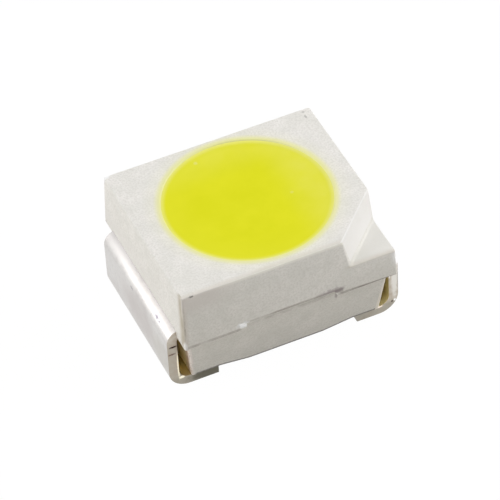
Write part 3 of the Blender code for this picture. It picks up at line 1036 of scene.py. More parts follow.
@dataclass
class Lead:
    """One lead: plated strip, stamped flat, then bent down outside the housing and in under it.

    Attributes:
        package: the shared sizes.
        side: the end that it is on.
        foot: length of its foot from the strip's outside, in millimetres.
        tab_width, shoulder, shoulder_run: the narrowed tab inside the housing, where it begins, and
            how far its shoulder slopes.
        slot_centre, slot_width, pad_corner: the slot between the two pads, and their corners' radius.
        hole, hole_reach, hole_spread: the lock holes' size and place, and how far apart they are.
    """

    package: Package
    side: Side
    foot: float
    width: float = 2.2
    tab_width: float = 1.9
    shoulder: float = 1.42
    shoulder_run: float = 0.10
    top_bend: float = 0.20
    foot_bend: float = 0.30
    pad_corner: float = 0.12
    slot_centre: float = -0.40
    slot_width: float = 0.22
    hole: float = 0.26
    hole_reach: float = 1.21
    hole_spread: float = 1.24
    edge_radius: float = 0.012
    bend_steps: int = 14

    @property
    def name(self) -> str:
        """Name of the CAD node that the lead stands for."""
        return "anode_lead" if self.side is Side.ANODE else "cathode_lead"

    def pad_end(self) -> float:
        """Distance from the middle, on the lead's own side, at which its pad ends."""
        return self.side.value * self.slot_centre + self.slot_width / 2

    def bent_strip(self, name: str, grow: float) -> bpy.types.Object:
        """Form the strip on the +X side, from its pad round both bends to its foot.

        Args:
            name: the new object's name.
            grow: how much larger it is all round.

        Returns:
            The strip, in one mesh with its tab still as wide as the lead.
        """
        pack = self.package
        outside = pack.length / 2 + grow
        top = pack.lead_top + grow
        half = self.width / 2 + grow
        thick = pack.sheet + 2 * grow
        bend = self.top_bend + grow
        foot_bend = self.foot_bend + grow
        strip = add_box(name, (self.pad_end() - grow, -half, top - thick), (outside - bend, half, top))
        with editing(strip, Pick.FACES):
            select(Pick.FACES, lambda face: face.normal.x > FACING)
            bpy.ops.mesh.spin(steps=self.bend_steps, angle=-math.pi / 2,
                              center=(outside - bend, 0.0, top - bend), axis=(0.0, 1.0, 0.0))
            extrude((0.0, 0.0, -(top - bend - (foot_bend - grow))))
            bpy.ops.mesh.spin(steps=self.bend_steps, angle=-math.pi / 2,
                              center=(outside - foot_bend, 0.0, foot_bend - grow), axis=(0.0, 1.0, 0.0))
            extrude((-(self.foot - self.foot_bend + grow), 0.0, 0.0))
            bpy.ops.mesh.select_all(action="SELECT")
            bpy.ops.mesh.normals_make_consistent(inside=False)
        return strip

    def side_stamp(self, name: str, across: int, grow: float) -> bpy.types.Object:
        """Make the punch that narrows one side of the tab and slopes its shoulder.

        Args:
            name: the new object's name.
            across: which side, by the sign of Y.
            grow: how much less it takes away all round.

        Returns:
            The punch.
        """
        half_tab = self.tab_width / 2 + grow
        half_lead = self.width / 2 + grow
        low = self.package.lead_top - 3 * self.package.sheet
        high = self.package.lead_top + 3 * self.package.sheet
        end = self.pad_end() - grow
        inner, outer = sorted((across * half_tab, across * self.width))
        stamp = add_box(name, (end - REACH / 2, inner, low), (self.shoulder, outer, high))
        with editing(stamp, Pick.POINTS):
            select(Pick.POINTS, lambda v: v.co.x > self.shoulder - NEAR and abs(v.co.y) < half_lead)
            move((-self.shoulder_run, 0.0, 0.0))
        return stamp

    def strip_tab(self, strip: bpy.types.Object, grow: float) -> None:
        """Stamp the tab: its narrower sides, its rounded pad and its two lock holes.

        Args:
            strip: the bent strip, which is changed.
            grow: how much larger the strip is all round.
        """
        pack = self.package
        for across in (-1, 1):
            combine(strip, self.side_stamp("side_punch", across, grow))
        half_tab = self.tab_width / 2 + grow
        with editing(strip, Pick.EDGES):
            select(Pick.EDGES, lambda edge: abs(middle(edge).x - self.pad_end() + grow) < NEAR
                   and abs(abs(middle(edge).y) - half_tab) < NEAR
                   and abs(edge.verts[0].co.z - edge.verts[1].co.z) > pack.sheet / 2)
            bpy.ops.mesh.bevel(offset=self.pad_corner, segments=5, affect="EDGES")
        clear_selection()
        bpy.ops.mesh.primitive_cylinder_add(
            vertices=32, radius=self.hole / 2 - grow, depth=6 * pack.sheet,
            location=(self.hole_reach, -self.hole_spread / 2, pack.lead_top - pack.sheet / 2))
        punch = name_primitive("hole_punch")
        with editing(punch, Pick.FACES):
            bpy.ops.mesh.select_all(action="SELECT")
            bpy.ops.mesh.duplicate_move(TRANSFORM_OT_translate={"value": (0.0, self.hole_spread, 0.0)})
        combine(strip, punch)

    def make(self, name: str, grow: float) -> bpy.types.Object:
        """Make the lead, or with a growth the space that it takes in the housing.

        Args:
            name: the new object's name.
            grow: how much larger it is all round.

        Returns:
            The finished shape in millimetres, on its own side.
        """
        strip = self.bent_strip(name, grow)
        self.strip_tab(strip, grow)
        if grow == 0.0:
            round_edges(strip, self.edge_radius, segments=2)
        if self.side is Side.ANODE:
            strip.data.transform(Matrix.Scale(-1.0, 4, (1.0, 0.0, 0.0)))
        with editing(strip, Pick.FACES):
            bpy.ops.mesh.select_all(action="SELECT")
            bpy.ops.mesh.normals_make_consistent(inside=False)
        return strip

    def skin_of(self, face: bpy.types.MeshPolygon) -> int:
        """Tell which of the lead's materials a face takes.

        Args:
            face: a face of the lead, in millimetres.

        Returns:
            0 for the plated outside, 1 for the tarnished inside, 2 for a cut edge.
        """
        pack = self.package
        centre = face.center
        reach = self.side.value * centre.x
        if abs(face.normal.y) > MOSTLY_FACING and abs(centre.y) > self.width / 2 - NEAR:
            return 2
        if face.normal.z > FACING and abs(centre.z - pack.sheet) < NEAR:
            return 1
        if reach < self.shoulder:
            return 2 if centre.z < pack.sheet and abs(face.normal.x) > MOSTLY_FACING else 0
        in_gap = pack.sheet - NEAR < centre.z < pack.lead_top - pack.sheet + NEAR
        return 1 if in_gap and reach < pack.length / 2 - pack.sheet + NEAR else 0

    def build(self, plate: bpy.types.Material, tarnish: bpy.types.Material,
              edge: bpy.types.Material) -> bpy.types.Object:
        """Build the lead and give each of its skins its finish.

        Args:
            plate: the outside's material.
            tarnish: the inside's material.
            edge: the cut edge's material.

        Returns:
            The finished piece.
        """
        lead = self.make(self.name + "_formed", 0.0)
        lead.data.materials.clear()
        for material in (plate, tarnish, edge):
            lead.data.materials.append(material)
        for face in lead.data.polygons:
            face.material_index = self.skin_of(face)
        finish_mesh(lead)
        return lead


@dataclass
class Housing:
    """The white moulding: two halves, a notch, the feet's pockets, the cup and the leads' seats.

    Attributes:
        corner_drops: how far the parting line sinks at the front's anode and cathode ends.
        rebate_start, rebate_end, rebate_rise: where the parting line is stepped up, and how far.
        cathode_setbacks: how much further in the lower half's cathode end is, at its foot and its top.
        crumb_place, crumb_size, crumb_taper: the crumb of flash: its middle along X and Z, its width,
            height and reach, and how wide its front is against its root.
        notch_leg, notch_depth, notch_lean, notch_fillet: the stepped corner's legs along both edges,
            the depth of its ledge, the lean of its wall in degrees, and the fillet between the two.
        lip_radius, lip_turn, lip_steps: the rounding of the cup's mouth, how far round it goes in
            degrees, and its strips.
        join: how far the lower half reaches into the upper one, to be joined to it.
        notch_over, cup_over: how far these cutters stand above the top face.
    """

    package: Package
    corner_radius: float = 0.03
    corner_drops: tuple[float, float] = (0.060, 0.032)
    rebate_start: float = -0.74
    rebate_end: float = 0.70
    rebate_rise: float = 0.060
    cathode_setbacks: tuple[float, float] = (0.010, 0.045)
    crumb_place: tuple[float, float] = (-0.74, 1.070)
    crumb_size: tuple[float, float, float] = (0.17, 0.050, 0.030)
    crumb_taper: float = 0.55
    edge_radius: float = 0.022
    notch_leg: float = 0.775
    notch_depth: float = 0.48
    notch_lean: float = 10.5
    notch_fillet: float = 0.03
    notch_over: float = 0.4
    lip_radius: float = 0.024
    lip_turn: float = 80.0
    lip_steps: int = 5
    floor_fillet: float = 0.06
    join: float = 0.025
    cup_steps: int = 128
    cup_over: float = 0.3

    def half_block(self, name: str, low: float, high: float,
                   size: Callable[[float], tuple[float, float]]) -> bpy.types.Object:
        """Make one half of the body: a block that tapers between two heights, its corners rounded.

        Args:
            name: the new object's name.
            low: height of its lower face.
            high: height of its upper face.
            size: gives the half length and half width at a height.

        Returns:
            The block.
        """
        base, tip = size(low), size(high)
        block = add_box(name, (-base[0], -base[1], low), (base[0], base[1], high))
        with editing(block, Pick.FACES):
            select(Pick.FACES, lambda face: face.normal.z > FACING)
            stretch((tip[0] / base[0], tip[1] / base[1], 1.0))
        with editing(block, Pick.EDGES):
            select(Pick.EDGES, lambda edge: abs(edge.verts[0].co.z - edge.verts[1].co.z) > NEAR)
            bpy.ops.mesh.bevel(offset=self.corner_radius, segments=5, affect="EDGES")
        return block

    def lower_corners(self, block: bpy.types.Object) -> None:
        """Let the parting line sink towards both ends of the front, as it does in the photograph.

        Args:
            block: the upper half, which is changed.
        """
        with editing(block, Pick.POINTS):
            for side, drop in zip(Side, self.corner_drops):
                select(Pick.POINTS, lambda v, way=side.value: v.co.z < self.package.parting + NEAR
                       and v.co.y < 0.0 and way * v.co.x > 0.0)
                move((0.0, 0.0, -drop))

    def rebate_cutter(self) -> bpy.types.Object:
        """Make the cutter that steps the parting line up in the middle of the front.

        Returns:
            The cutter, whose two ends slope.
        """
        pack = self.package
        low = pack.parting - self.rebate_rise
        high = pack.parting + self.rebate_rise
        face = pack.lower_half(pack.parting)[1]
        cutter = add_box("rebate_cutter", (self.rebate_start, -pack.body_width, low),
                         (self.rebate_end, -face, high))
        with editing(cutter, Pick.POINTS):
            select(Pick.POINTS, lambda v: v.co.z > high - NEAR)
            share = 1.0 - 2 * self.rebate_rise / (self.rebate_end - self.rebate_start)
            middle_x = (self.rebate_start + self.rebate_end) / 2
            stretch((share, 1.0, 1.0), (middle_x, 0.0, 0.0))
        return cutter

    def flash_crumb(self) -> bpy.types.Object:
        """Make the crumb of flash that juts out at the step in the parting line and catches the light.

        Returns:
            The crumb, which narrows outwards and whose front slopes back to the wall at its top.
        """
        x, z = self.crumb_place
        width, height, reach = self.crumb_size
        wall = self.package.upper_half(z)[1]
        root = self.package.lower_half(self.package.parting)[1] - NEAR
        crumb = add_box("flash_crumb", (x - width / 2, -wall - reach, z - height / 2),
                        (x + width / 2, -root, z + height / 2))
        with editing(crumb, Pick.POINTS):
            select(Pick.POINTS, lambda v: v.co.y < -wall)
            stretch((self.crumb_taper, 1.0, 1.0), (x, 0.0, 0.0))
            select(Pick.POINTS, lambda v: v.co.y < -wall and v.co.z > z)
            move((0.0, reach, 0.0))
        round_edges(crumb, self.edge_radius / 3, segments=2)
        return crumb

    def notch_cutter(self) -> bpy.types.Object:
        """Make the cutter for the stepped corner.

        Returns:
            The cutter, with a leaning wall and the fillet at its foot.
        """
        pack = self.package
        half_length, half_width = pack.upper_half(pack.height)
        wall = (half_length + half_width - self.notch_leg) / math.sqrt(2.0)
        ledge = pack.height - self.notch_depth
        above = pack.height + self.notch_over
        cutter = add_box("notch_cutter", (wall, -REACH, ledge), (wall + REACH, REACH, above))
        with editing(cutter, Pick.POINTS):
            select(Pick.POINTS, lambda v: v.co.x < wall + NEAR and v.co.z < ledge + NEAR)
            move((self.notch_depth * lean(self.notch_lean), 0.0, 0.0))
            select(Pick.POINTS, lambda v: v.co.x < wall + NEAR and v.co.z > above - NEAR)
            move((-self.notch_over * lean(self.notch_lean), 0.0, 0.0))
        with editing(cutter, Pick.EDGES):
            select(Pick.EDGES, lambda e: middle(e).x < wall + REACH / 2 and abs(middle(e).z - ledge) < NEAR
                   and abs(e.verts[0].co.y - e.verts[1].co.y) > REACH)
            bpy.ops.mesh.bevel(offset=self.notch_fillet, segments=4, affect="EDGES")
        cutter.data.transform(Matrix.Rotation(-math.pi / 4, 4, "Z"))
        return cutter

    def foot_cutter(self, side: Side) -> bpy.types.Object:
        """Make the cutter for the pocket that a foot lies in.

        Args:
            side: the end that the foot is on.

        Returns:
            The cutter, with the ramp at its inner end.
        """
        pack = self.package
        run = pack.ramp_start - pack.ramp_end
        drop = pack.pocket_height - pack.belly
        low, high = sorted((side.value * pack.ramp_start, side.value * REACH))
        cutter = add_box("foot_cutter", (low, -REACH, pack.belly - drop), (high, REACH, pack.pocket_height))
        with editing(cutter, Pick.POINTS):
            select(Pick.POINTS, lambda v: abs(v.co.x) < pack.ramp_start + NEAR
                   and v.co.z < pack.pocket_height - NEAR)
            move((-side.value * 2 * run, 0.0, 0.0))
        return cutter

    def cup_cutter(self) -> bpy.types.Object:
        """Make the cutter for the cup.

        Returns:
            The cutter, a frustum with a rounded floor edge that flares into the lip.
        """
        pack = self.package
        clear_selection()
        lip_low = pack.height - self.lip_radius
        depth = lip_low - pack.lead_top
        bpy.ops.mesh.primitive_cone_add(vertices=self.cup_steps, radius1=pack.floor / 2,
                                        radius2=pack.cup_radius(lip_low), depth=depth,
                                        location=(*pack.cup_centre, pack.lead_top + depth / 2))
        cutter = name_primitive("cup_cutter")
        with editing(cutter, Pick.FACES):
            select(Pick.FACES, lambda face: face.normal.z > FACING)
            radius, height = pack.cup_radius(lip_low), lip_low
            for step in range(1, self.lip_steps + 1):
                turn = math.radians(self.lip_turn) * step / self.lip_steps
                wider = pack.cup_radius(lip_low) + self.lip_radius * (1.0 - math.cos(turn))
                higher = lip_low + self.lip_radius * math.sin(turn)
                extrude((0.0, 0.0, higher - height))
                stretch((wider / radius, wider / radius, 1.0), (*pack.cup_centre, 0.0))
                radius, height = wider, higher
            extrude((0.0, 0.0, self.cup_over))
        with editing(cutter, Pick.EDGES):
            select(Pick.EDGES, lambda edge: middle(edge).z < pack.lead_top + NEAR)
            bpy.ops.mesh.bevel(offset=self.floor_fillet, segments=5, affect="EDGES")
        return cutter

    def build(self, leads: Sequence[Lead], material: bpy.types.Material) -> bpy.types.Object:
        """Build the housing round its leads.

        Args:
            leads: both leads, whose seats it gets.
            material: the moulding's material.

        Returns:
            The finished piece.
        """
        pack = self.package
        housing = self.half_block("housing_moulded", pack.parting, pack.height, pack.upper_half)
        self.lower_corners(housing)
        root = pack.parting + self.join
        lower = self.half_block("lower_half", pack.belly, root, pack.lower_half)
        with editing(lower, Pick.POINTS):
            for height, setback in zip((pack.belly, root), self.cathode_setbacks):
                select(Pick.POINTS, lambda v, level=height: v.co.x > 0.0 and abs(v.co.z - level) < NEAR)
                move((-setback, 0.0, 0.0))
        combine(housing, lower, "UNION")
        combine(housing, self.notch_cutter())
        for side in Side:
            combine(housing, self.foot_cutter(side))
        round_edges(housing, self.edge_radius, segments=3)
        combine(housing, self.rebate_cutter())
        combine(housing, self.flash_crumb(), "UNION")
        for lead in leads:
            combine(housing, lead.make(lead.name + "_seat", pack.gap))
        combine(housing, self.cup_cutter())
        housing.data.materials.clear()
        housing.data.materials.append(material)
        finish_mesh(housing)
        return housing


@dataclass
class Filling:
    """The cup's yellow filling: its edge clings to the wall, and its middle sits a little lower.

    Attributes:
        package: the shared sizes.
        edge_drop: how far its edge is under the top face.
        dip: how much lower its middle is than its edge.
        curl: how steeply it rises at the edge, as a power.
        wetting: how far it reaches into the wall's line.
        rings: the rings of its surface, as shares of its radius.
    """

    package: Package
    edge_drop: float = 0.014
    dip: float = 0.030
    curl: float = 7.0
    wetting: float = 0.001
    floor_fillet: float = 0.06
    steps: int = 128
    rings: tuple[float, ...] = (0.985, 0.97, 0.95, 0.93, 0.90, 0.86, 0.80, 0.70, 0.55, 0.35, 0.15)
    smooth_angle: float = 60.0

    def build(self, material: bpy.types.Material) -> bpy.types.Object:
        """Build the filling.

        Args:
            material: its material.

        Returns:
            The finished piece.
        """
        pack = self.package
        clear_selection()
        low = pack.lead_top + pack.gap
        high = pack.height - self.edge_drop
        edge = pack.cup_radius(high) + self.wetting
        bpy.ops.mesh.primitive_cone_add(vertices=self.steps, radius1=pack.cup_radius(low) - pack.gap,
                                        radius2=edge, depth=high - low,
                                        location=(*pack.cup_centre, (low + high) / 2))
        filling = name_primitive("encapsulant_cast")
        with editing(filling, Pick.FACES):
            select(Pick.FACES, lambda face: face.normal.z > FACING)
            before, level = 1.0, 0.0
            for share in self.rings:
                bpy.ops.mesh.inset(thickness=edge * (before - share))
                drop = -self.dip * (1.0 - share ** self.curl)
                move((0.0, 0.0, drop - level))
                before, level = share, drop
            bpy.ops.mesh.poke()
        with editing(filling, Pick.EDGES):
            select(Pick.EDGES, lambda e: all(v.co.z < low + NEAR for v in e.verts))
            bpy.ops.mesh.bevel(offset=self.floor_fillet, segments=4, affect="EDGES")
        filling.data.materials.clear()
        filling.data.materials.append(material)
        finish_mesh(filling, self.smooth_angle)
        return filling


def direction(azimuth: float, elevation: float) -> Vector:
    """Way out from the part, by degrees round from the front to the cathode's end and degrees up."""
    turn, tilt = math.radians(azimuth), math.radians(elevation)
    return Vector((math.sin(turn) * math.cos(tilt), -math.cos(turn) * math.cos(tilt), math.sin(tilt)))


@dataclass(frozen=True)
class SoftBox:
    """A square lamp that faces the part.

    Attributes:
        name: the lamp's name.
        azimuth: its direction, in degrees: 0 is the front, 90 the cathode's end.
        elevation: its height, in degrees.
        level: the light that it gives a white surface that faces it, where 1 shows it as written.
        size: its side, in millimetres.
        distance: how far away it is, in millimetres.
    """

    name: str
    azimuth: float
    elevation: float
    level: float
    size: float = 200.0
    distance: float = 220.0

    def add(self) -> None:
        """Hang the lamp."""
        data = bpy.data.lights.new(self.name, "AREA")
        data.shape = "SQUARE"
        data.size = self.size * MM
        data.energy = self.level * (math.pi * self.distance * MM) ** 2
        lamp = bpy.data.objects.new(self.name, data)
        bpy.context.scene.collection.objects.link(lamp)
        way = direction(self.azimuth, self.elevation)
        lamp.location = way * self.distance * MM
        lamp.rotation_euler = way.to_track_quat("Z", "Y").to_euler()


@dataclass
class Studio:
    """The pale floor, the soft lamps and the camera at the photograph's place. Sizes in millimetres.

    Attributes:
        azimuth, elevation, roll, distance, target: where the camera stands and looks, in degrees and
            millimetres, fitted to the photograph.
        focal_pixels, shift_pixels: its focal length and its shift, in pixels of the photograph.
        floor_shown, floor_glow: how far the seen floor is plain white, and how bright that white is.
        ambient: how bright the world is for light that reaches the part.
    """

    azimuth: float = -22.16
    elevation: float = 44.517
    roll: float = -3.491
    distance: float = 46.78
    target: tuple[float, float, float] = (0.0114, -0.0119, 0.95)
    focal_pixels: float = 3362.5
    sensor: float = 36.0
    shift_pixels: float = -1.0
    floor_size: float = 3000.0
    floor_grain: float = 2.0
    floor_shown: float = 0.96
    floor_glow: float = 1.03
    ambient: float = 0.14
    # Each lamp's name, azimuth, elevation and level, and its size where it isn't the usual one.
    lamps: tuple[SoftBox, ...] = (
        SoftBox("Left soft box", -112.0, 28.0, 1.02, 300.0),
        SoftBox("Right soft box", 82.0, 32.0, 0.87),
        SoftBox("Overhead soft box", 180.0, 68.0, 0.10),
        SoftBox("Front soft box", -30.0, 12.0, 0.20),
    )

    def add_camera(self) -> None:
        """Put the camera where the photograph was taken from."""
        data = bpy.data.cameras.new("Camera")
        data.sensor_width = self.sensor
        data.lens = self.sensor * self.focal_pixels / PHOTO_PIXELS
        data.shift_x = self.shift_pixels / PHOTO_PIXELS
        data.clip_start = 1.0 * MM
        data.clip_end = 10.0
        camera = bpy.data.objects.new("Camera", data)
        bpy.context.scene.collection.objects.link(camera)
        back = direction(self.azimuth, self.elevation)
        turn, roll = math.radians(self.azimuth), math.radians(self.roll)
        right = Vector((math.cos(turn), math.sin(turn), 0.0))
        up = back.cross(right)
        rolled_right = right * math.cos(roll) + up * math.sin(roll)
        rolled_up = up * math.cos(roll) - right * math.sin(roll)
        place = Vector(self.target) + back * self.distance
        facing = Matrix((rolled_right, rolled_up, back)).transposed().to_4x4()
        camera.matrix_world = Matrix.Translation(place * MM) @ facing
        bpy.context.scene.camera = camera

    @staticmethod
    def seen_ray(tree: bpy.types.NodeTree) -> bpy.types.Node:
        """Tell whether a ray comes from the camera, from a reflection or through glass.

        Args:
            tree: the node tree.

        Returns:
            The node that gives 1 if it does and 0 if not.
        """
        ray = add_node(tree, Kind.RAY).outputs
        seen = add_node(tree, Kind.MATH, {"operation": "MAXIMUM"}, {
            0: ray["Is Camera Ray"],
            1: ray["Is Glossy Ray"],
        })
        return add_node(tree, Kind.MATH, {"operation": "MAXIMUM"}, {0: seen, 1: ray["Is Transmission Ray"]})

    def add_world(self) -> None:
        """Give dim even light, and white wherever the background is seen or mirrored."""
        world = bpy.data.worlds.new("Studio")
        world.use_nodes = True
        bpy.context.scene.world = world
        tree = world.node_tree
        tree.nodes.clear()
        strength = add_node(tree, Kind.RANGE, {"To Min": self.ambient}, {"Value": self.seen_ray(tree)})
        background = add_node(tree, Kind.BACKGROUND, {"Color": linear("#FFFFFF")}, {"Strength": strength})
        add_node(tree, Kind.WORLD_OUTPUT, None, {"Surface": background})

    def add_floor(self) -> None:
        """Lay the matt white card, which looks white and keeps a faint shadow."""
        clear_selection()
        bpy.ops.mesh.primitive_plane_add(size=self.floor_size * MM, location=(0.0, 0.0, 0.0))
        floor = bpy.context.object
        floor.name = "floor"
        material = bpy.data.materials.new("White card, matt")
        material.use_nodes = True
        tree = material.node_tree
        tree.nodes.clear()
        place = add_node(tree, Kind.COORDINATES).outputs["Object"]
        fibres = add_node(tree, Kind.NOISE, {
            "Scale": per_mm(self.floor_grain),
        }, {"Vector": place})
        colour = add_node(tree, Kind.MIX, {
            "data_type": "RGBA",
            6: linear("#B4B0A6"),
            7: linear("#B7B3A9"),
        }, {0: fibres})
        card = add_node(tree, Kind.SURFACE, {"Roughness": 0.9}, {"Base Color": colour})
        white = add_node(tree, Kind.EMISSION, {"Color": linear("#FFFFFF"), "Strength": self.floor_glow})
        share = add_node(tree, Kind.RANGE, {"To Max": self.floor_shown}, {"Value": self.seen_ray(tree)})
        shown = add_node(tree, Kind.MIX_SURFACES, None, {0: share, 1: card, 2: white})
        add_node(tree, Kind.MATERIAL_OUTPUT, None, {"Surface": shown})
        floor.data.materials.append(material)

    def build(self) -> None:
        """Set up the whole studio."""
        self.add_world()
        self.add_floor()
        for lamp in self.lamps:
            lamp.add()
        self.add_camera()
        bpy.context.scene.view_settings.view_transform = "Standard"


# The ways that the borders of zones go by: along an axis, out of a drafted wall, or up from the
# front's seam where it slopes.
TO_ANODE = (-1.0, 0.0, 0.0)
TO_CATHODE = (1.0, 0.0, 0.0)
TO_FRONT = (0.0, -1.0, 0.0)
TO_BACK = (0.0, 1.0, 0.0)
TO_NOTCH = (0.7071, -0.7071, 0.0)
UP = (0.0, 0.0, 1.0)
UPPER_ANODE_END = (-1.0, 0.0, lean(Package.upper_end_draft))
UPPER_CATHODE_END = (1.0, 0.0, lean(Package.upper_end_draft))
UPPER_FRONT = (0.0, -1.0, lean(Package.upper_side_draft))
LOWER_ANODE_END = (-1.0, 0.0, -lean(Package.lower_end_draft))
LOWER_CATHODE_END = (1.0, 0.0, -lean(Package.lower_end_draft))
LOWER_FRONT = (0.0, -1.0, -lean(Package.lower_side_draft))
RIGHT_SEAM = (0.033, 0.0, 1.0)

# A border is written as its way, where it starts and where it is full. A zone is its colour, its
# borders, its greatest and least strength and the size of its patches. A mark is its place, its
# reach, its colour, its strength, its raggedness and its core. These borders are shared by several.
LOWER_HALF = Border(UP, 0.965, 0.935)
TOP_FACE = Border(UP, 1.870, 1.885)
WALL_BEHIND_ANODE_LEAD = (Border(LOWER_ANODE_END, 1.350, 1.375), Border(LOWER_FRONT, 1.112, 1.102), LOWER_HALF)
FRONT_WALL = Border(TO_FRONT, 1.20, 1.30)
LEDGE = (Border(UP, 1.445, 1.435), Border(UP, 1.395, 1.412), Border(TO_CATHODE, 0.80, 0.90))
OVER_SEAM = Border(UP, 0.985, 1.020)
LEAD_TOP = Border(UP, 0.98, 1.02)
FOOT_EDGE = Border(UP, 0.22, 0.13)

HOUSING_ZONES = (
    # The wall behind the anode lead: painted gold reflection of the lead, painted shade deeper in, browner
    # near the front, and a painted highlight at its corner.
    Zone("#D6C084", WALL_BEHIND_ANODE_LEAD, 0.85, 0.70),
    Zone("#A39260", (*WALL_BEHIND_ANODE_LEAD, Border(TO_BACK, -0.86, -0.76)), 0.85, 0.70),
    Zone("#AA8C84", (*WALL_BEHIND_ANODE_LEAD, Border(LOWER_FRONT, 0.90, 1.00)), 0.85, 0.45, 0.07),
    Zone("#FFF6F2", (Border(LOWER_ANODE_END, 1.372, 1.384), Border(LOWER_FRONT, 1.040, 1.052), LOWER_HALF),
         1.0, 0.35, 0.05, (0.36, 0.56)),
    # A painted highlight on the lower half's corner at the cathode.
    Zone("#FFF8EC", (Border(LOWER_CATHODE_END, 1.330, 1.345), Border(LOWER_FRONT, 1.050, 1.065), LOWER_HALF),
         1.0, 0.9),
    # The corner between the anode end and the front is darker, most along its edge, with brown specks.
    Zone("#B7AE9B", (Border(UPPER_ANODE_END, 1.600, 1.612), Border(UPPER_FRONT, 1.290, 1.420),
                     OVER_SEAM), 0.95, 0.80, 0.10),
    Zone("#DDD6CC", (Border(UPPER_ANODE_END, 1.530, 1.600), Border(UPPER_FRONT, 1.440, 1.460),
                     OVER_SEAM), 0.80, 0.50, 0.08),
    Zone("#A79E8C", (Border(UPPER_ANODE_END, 1.590, 1.600), Border(UPPER_ANODE_END, 1.620, 1.610),
                     Border(UPPER_FRONT, 1.440, 1.460), Border(UP, 1.180, 1.300)), 0.60, 0.0, 0.07),
    # Painted shade on the top face towards the front edge. The wall below that edge has a painted highlight
    # along it, and is greyer towards the anode.
    Zone("#DDD8CE", (Border(TO_FRONT, 1.240, 1.325), TOP_FACE), 0.95, 0.75, 0.15),
    Zone("#FFFDF4", (Border(TO_FRONT, 1.325, 1.335), Border(UP, 1.830, 1.880)), 0.90, 0.70, 0.15),
    Zone("#E0DAD4", (Border(TO_FRONT, 1.310, 1.330), Border(TO_ANODE, 0.60, 1.30), Border(UP, 1.45, 1.80)),
         0.90, 0.70, 0.15),
    # Painted light on the front wall at its cathode end, and painted shade on the anode end's wall behind the
    # lead.
    Zone("#FFFFFF", (Border(UPPER_CATHODE_END, 1.530, 1.610), Border(UPPER_FRONT, 1.440, 1.455),
                     Border(UP, 1.100, 1.300)), 0.90, 0.80),
    Zone("#E8E5E0", (Border(UPPER_ANODE_END, 1.605, 1.615), Border(UP, 1.50, 1.12),
                     Border(TO_BACK, -0.8, -0.3)), 0.65, 0.50, 0.20),
    # The notch: painted light on its leaning wall, and painted shade on its ledge, most towards its inner tip
    # and its front edge.
    Zone("#F6F4F1", (Border(TO_NOTCH, 1.485, 1.500), Border(UP, 1.460, 1.500), Border(TO_FRONT, 1.335, 1.325),
                     Border(TO_CATHODE, 1.572, 1.562)), 1.0, 0.80),
    Zone("#EDEBE5", LEDGE, 0.90, 0.80),
    Zone("#E0DED6", (*LEDGE, Border(TO_CATHODE, 1.30, 1.10)), 0.60, 0.40),
    Zone("#DCD6CC", (*LEDGE, Border(TO_FRONT, 1.270, 1.360)), 0.90, 0.70, 0.12),
    # Painted shade along the parting line, on the front alone, in broken stretches.
    Zone("#9A9088", (Border(UP, 0.978, 0.990), Border(UP, 1.040, 1.012), Border(TO_ANODE, 0.74, 0.80),
                     Border(TO_FRONT, 1.350, 1.370)), 0.60, 0.25, 0.20),
    Zone("#9E948C", (Border(UP, 1.062, 1.076), Border(UP, 1.125, 1.092), Border(TO_CATHODE, 0.74, 0.68),
                     Border(TO_ANODE, 0.74, 0.68), FRONT_WALL), 0.75, 0.15, 0.22, (0.38, 0.62)),
    Zone("#857A72", (Border(RIGHT_SEAM, 1.004, 1.016), Border(RIGHT_SEAM, 1.070, 1.044),
                     Border(TO_CATHODE, 0.68, 0.76), FRONT_WALL), 0.90, 0.45, 0.16),
    Zone("#A39A92", (Border(UP, 1.015, 0.985), Border(UP, 0.900, 0.940), Border(TO_CATHODE, 0.90, 0.70),
                     Border(TO_ANODE, 0.80, 0.60), FRONT_WALL), 0.30, 0.0, 0.16, (0.40, 0.62)),
)
HOUSING_MARKS = (
    # Painted yellow light round the cup, as the filling throws it on the top face.
    Mark((*Package.cup_centre, Package.height), (1.50, 1.50, 0.06), "#F3F1BC", 0.22, 0.0, 0.78),
    # The dark stain at the step in the front's parting line, and a streak below it.
    Mark((0.600, -1.39, 1.105), (0.22, 0.12, 0.060), "#A2969A", 0.70, 0.8, 0.20),
    Mark((0.705, -1.39, 1.075), (0.12, 0.12, 0.055), "#8C8080", 0.78, 0.6, 0.25),
    Mark((0.705, -1.30, 0.92), (0.034, 0.12, 0.13), "#978B8A", 0.70, 0.4),
    # A painted highlight on the crumb of flash at the step's other end, and on the corner beside the anode
    # lead.
    Mark((-0.73, -1.42, 1.072), (0.165, 0.12, 0.058), "#FFFFFF", 1.00, 0.7, 0.30),
    Mark((-1.590, -1.385, 1.030), (0.050, 0.060, 0.110), "#FFFDFA", 1.00, 0.3),
    # Nicks and specks at the top face's corners, and the anode end's back edge, with a painted highlight at
    # its top.
    Mark((-1.431, -1.345, 1.885), (0.045, 0.035, 0.022), "#6B6560", 0.80, 0.5),
    Mark((1.453, 1.276, 1.9), (0.040, 0.030, 0.03), "#B5B2AC", 0.60, 0.4),
    Mark((1.444, 1.175, 1.9), (0.022, 0.045, 0.03), "#A9A6A0", 0.70, 0.3),
    Mark((-1.577, 1.340, 1.890), (0.110, 0.090, 0.100), "#FFFFFF", 1.00, 0.4, 0.40),
    Mark((-1.6, 1.35, 1.05), (0.03, 0.03, 0.03), "#A5A29C", 0.60, 0.4),
    Mark((-1.590, 1.385, 1.45), (0.030, 0.030, 0.45), "#A39E92", 0.50, 0.5),
)
TARNISH_SHADE_ZONES = (
    # Painted shade inside the cathode lead's bends, but for its front edge.
    Zone("#8E7846", (Border(TO_CATHODE, 1.40, 1.50), Border(TO_BACK, -1.02, -0.95)), 0.40, 0.15),
)
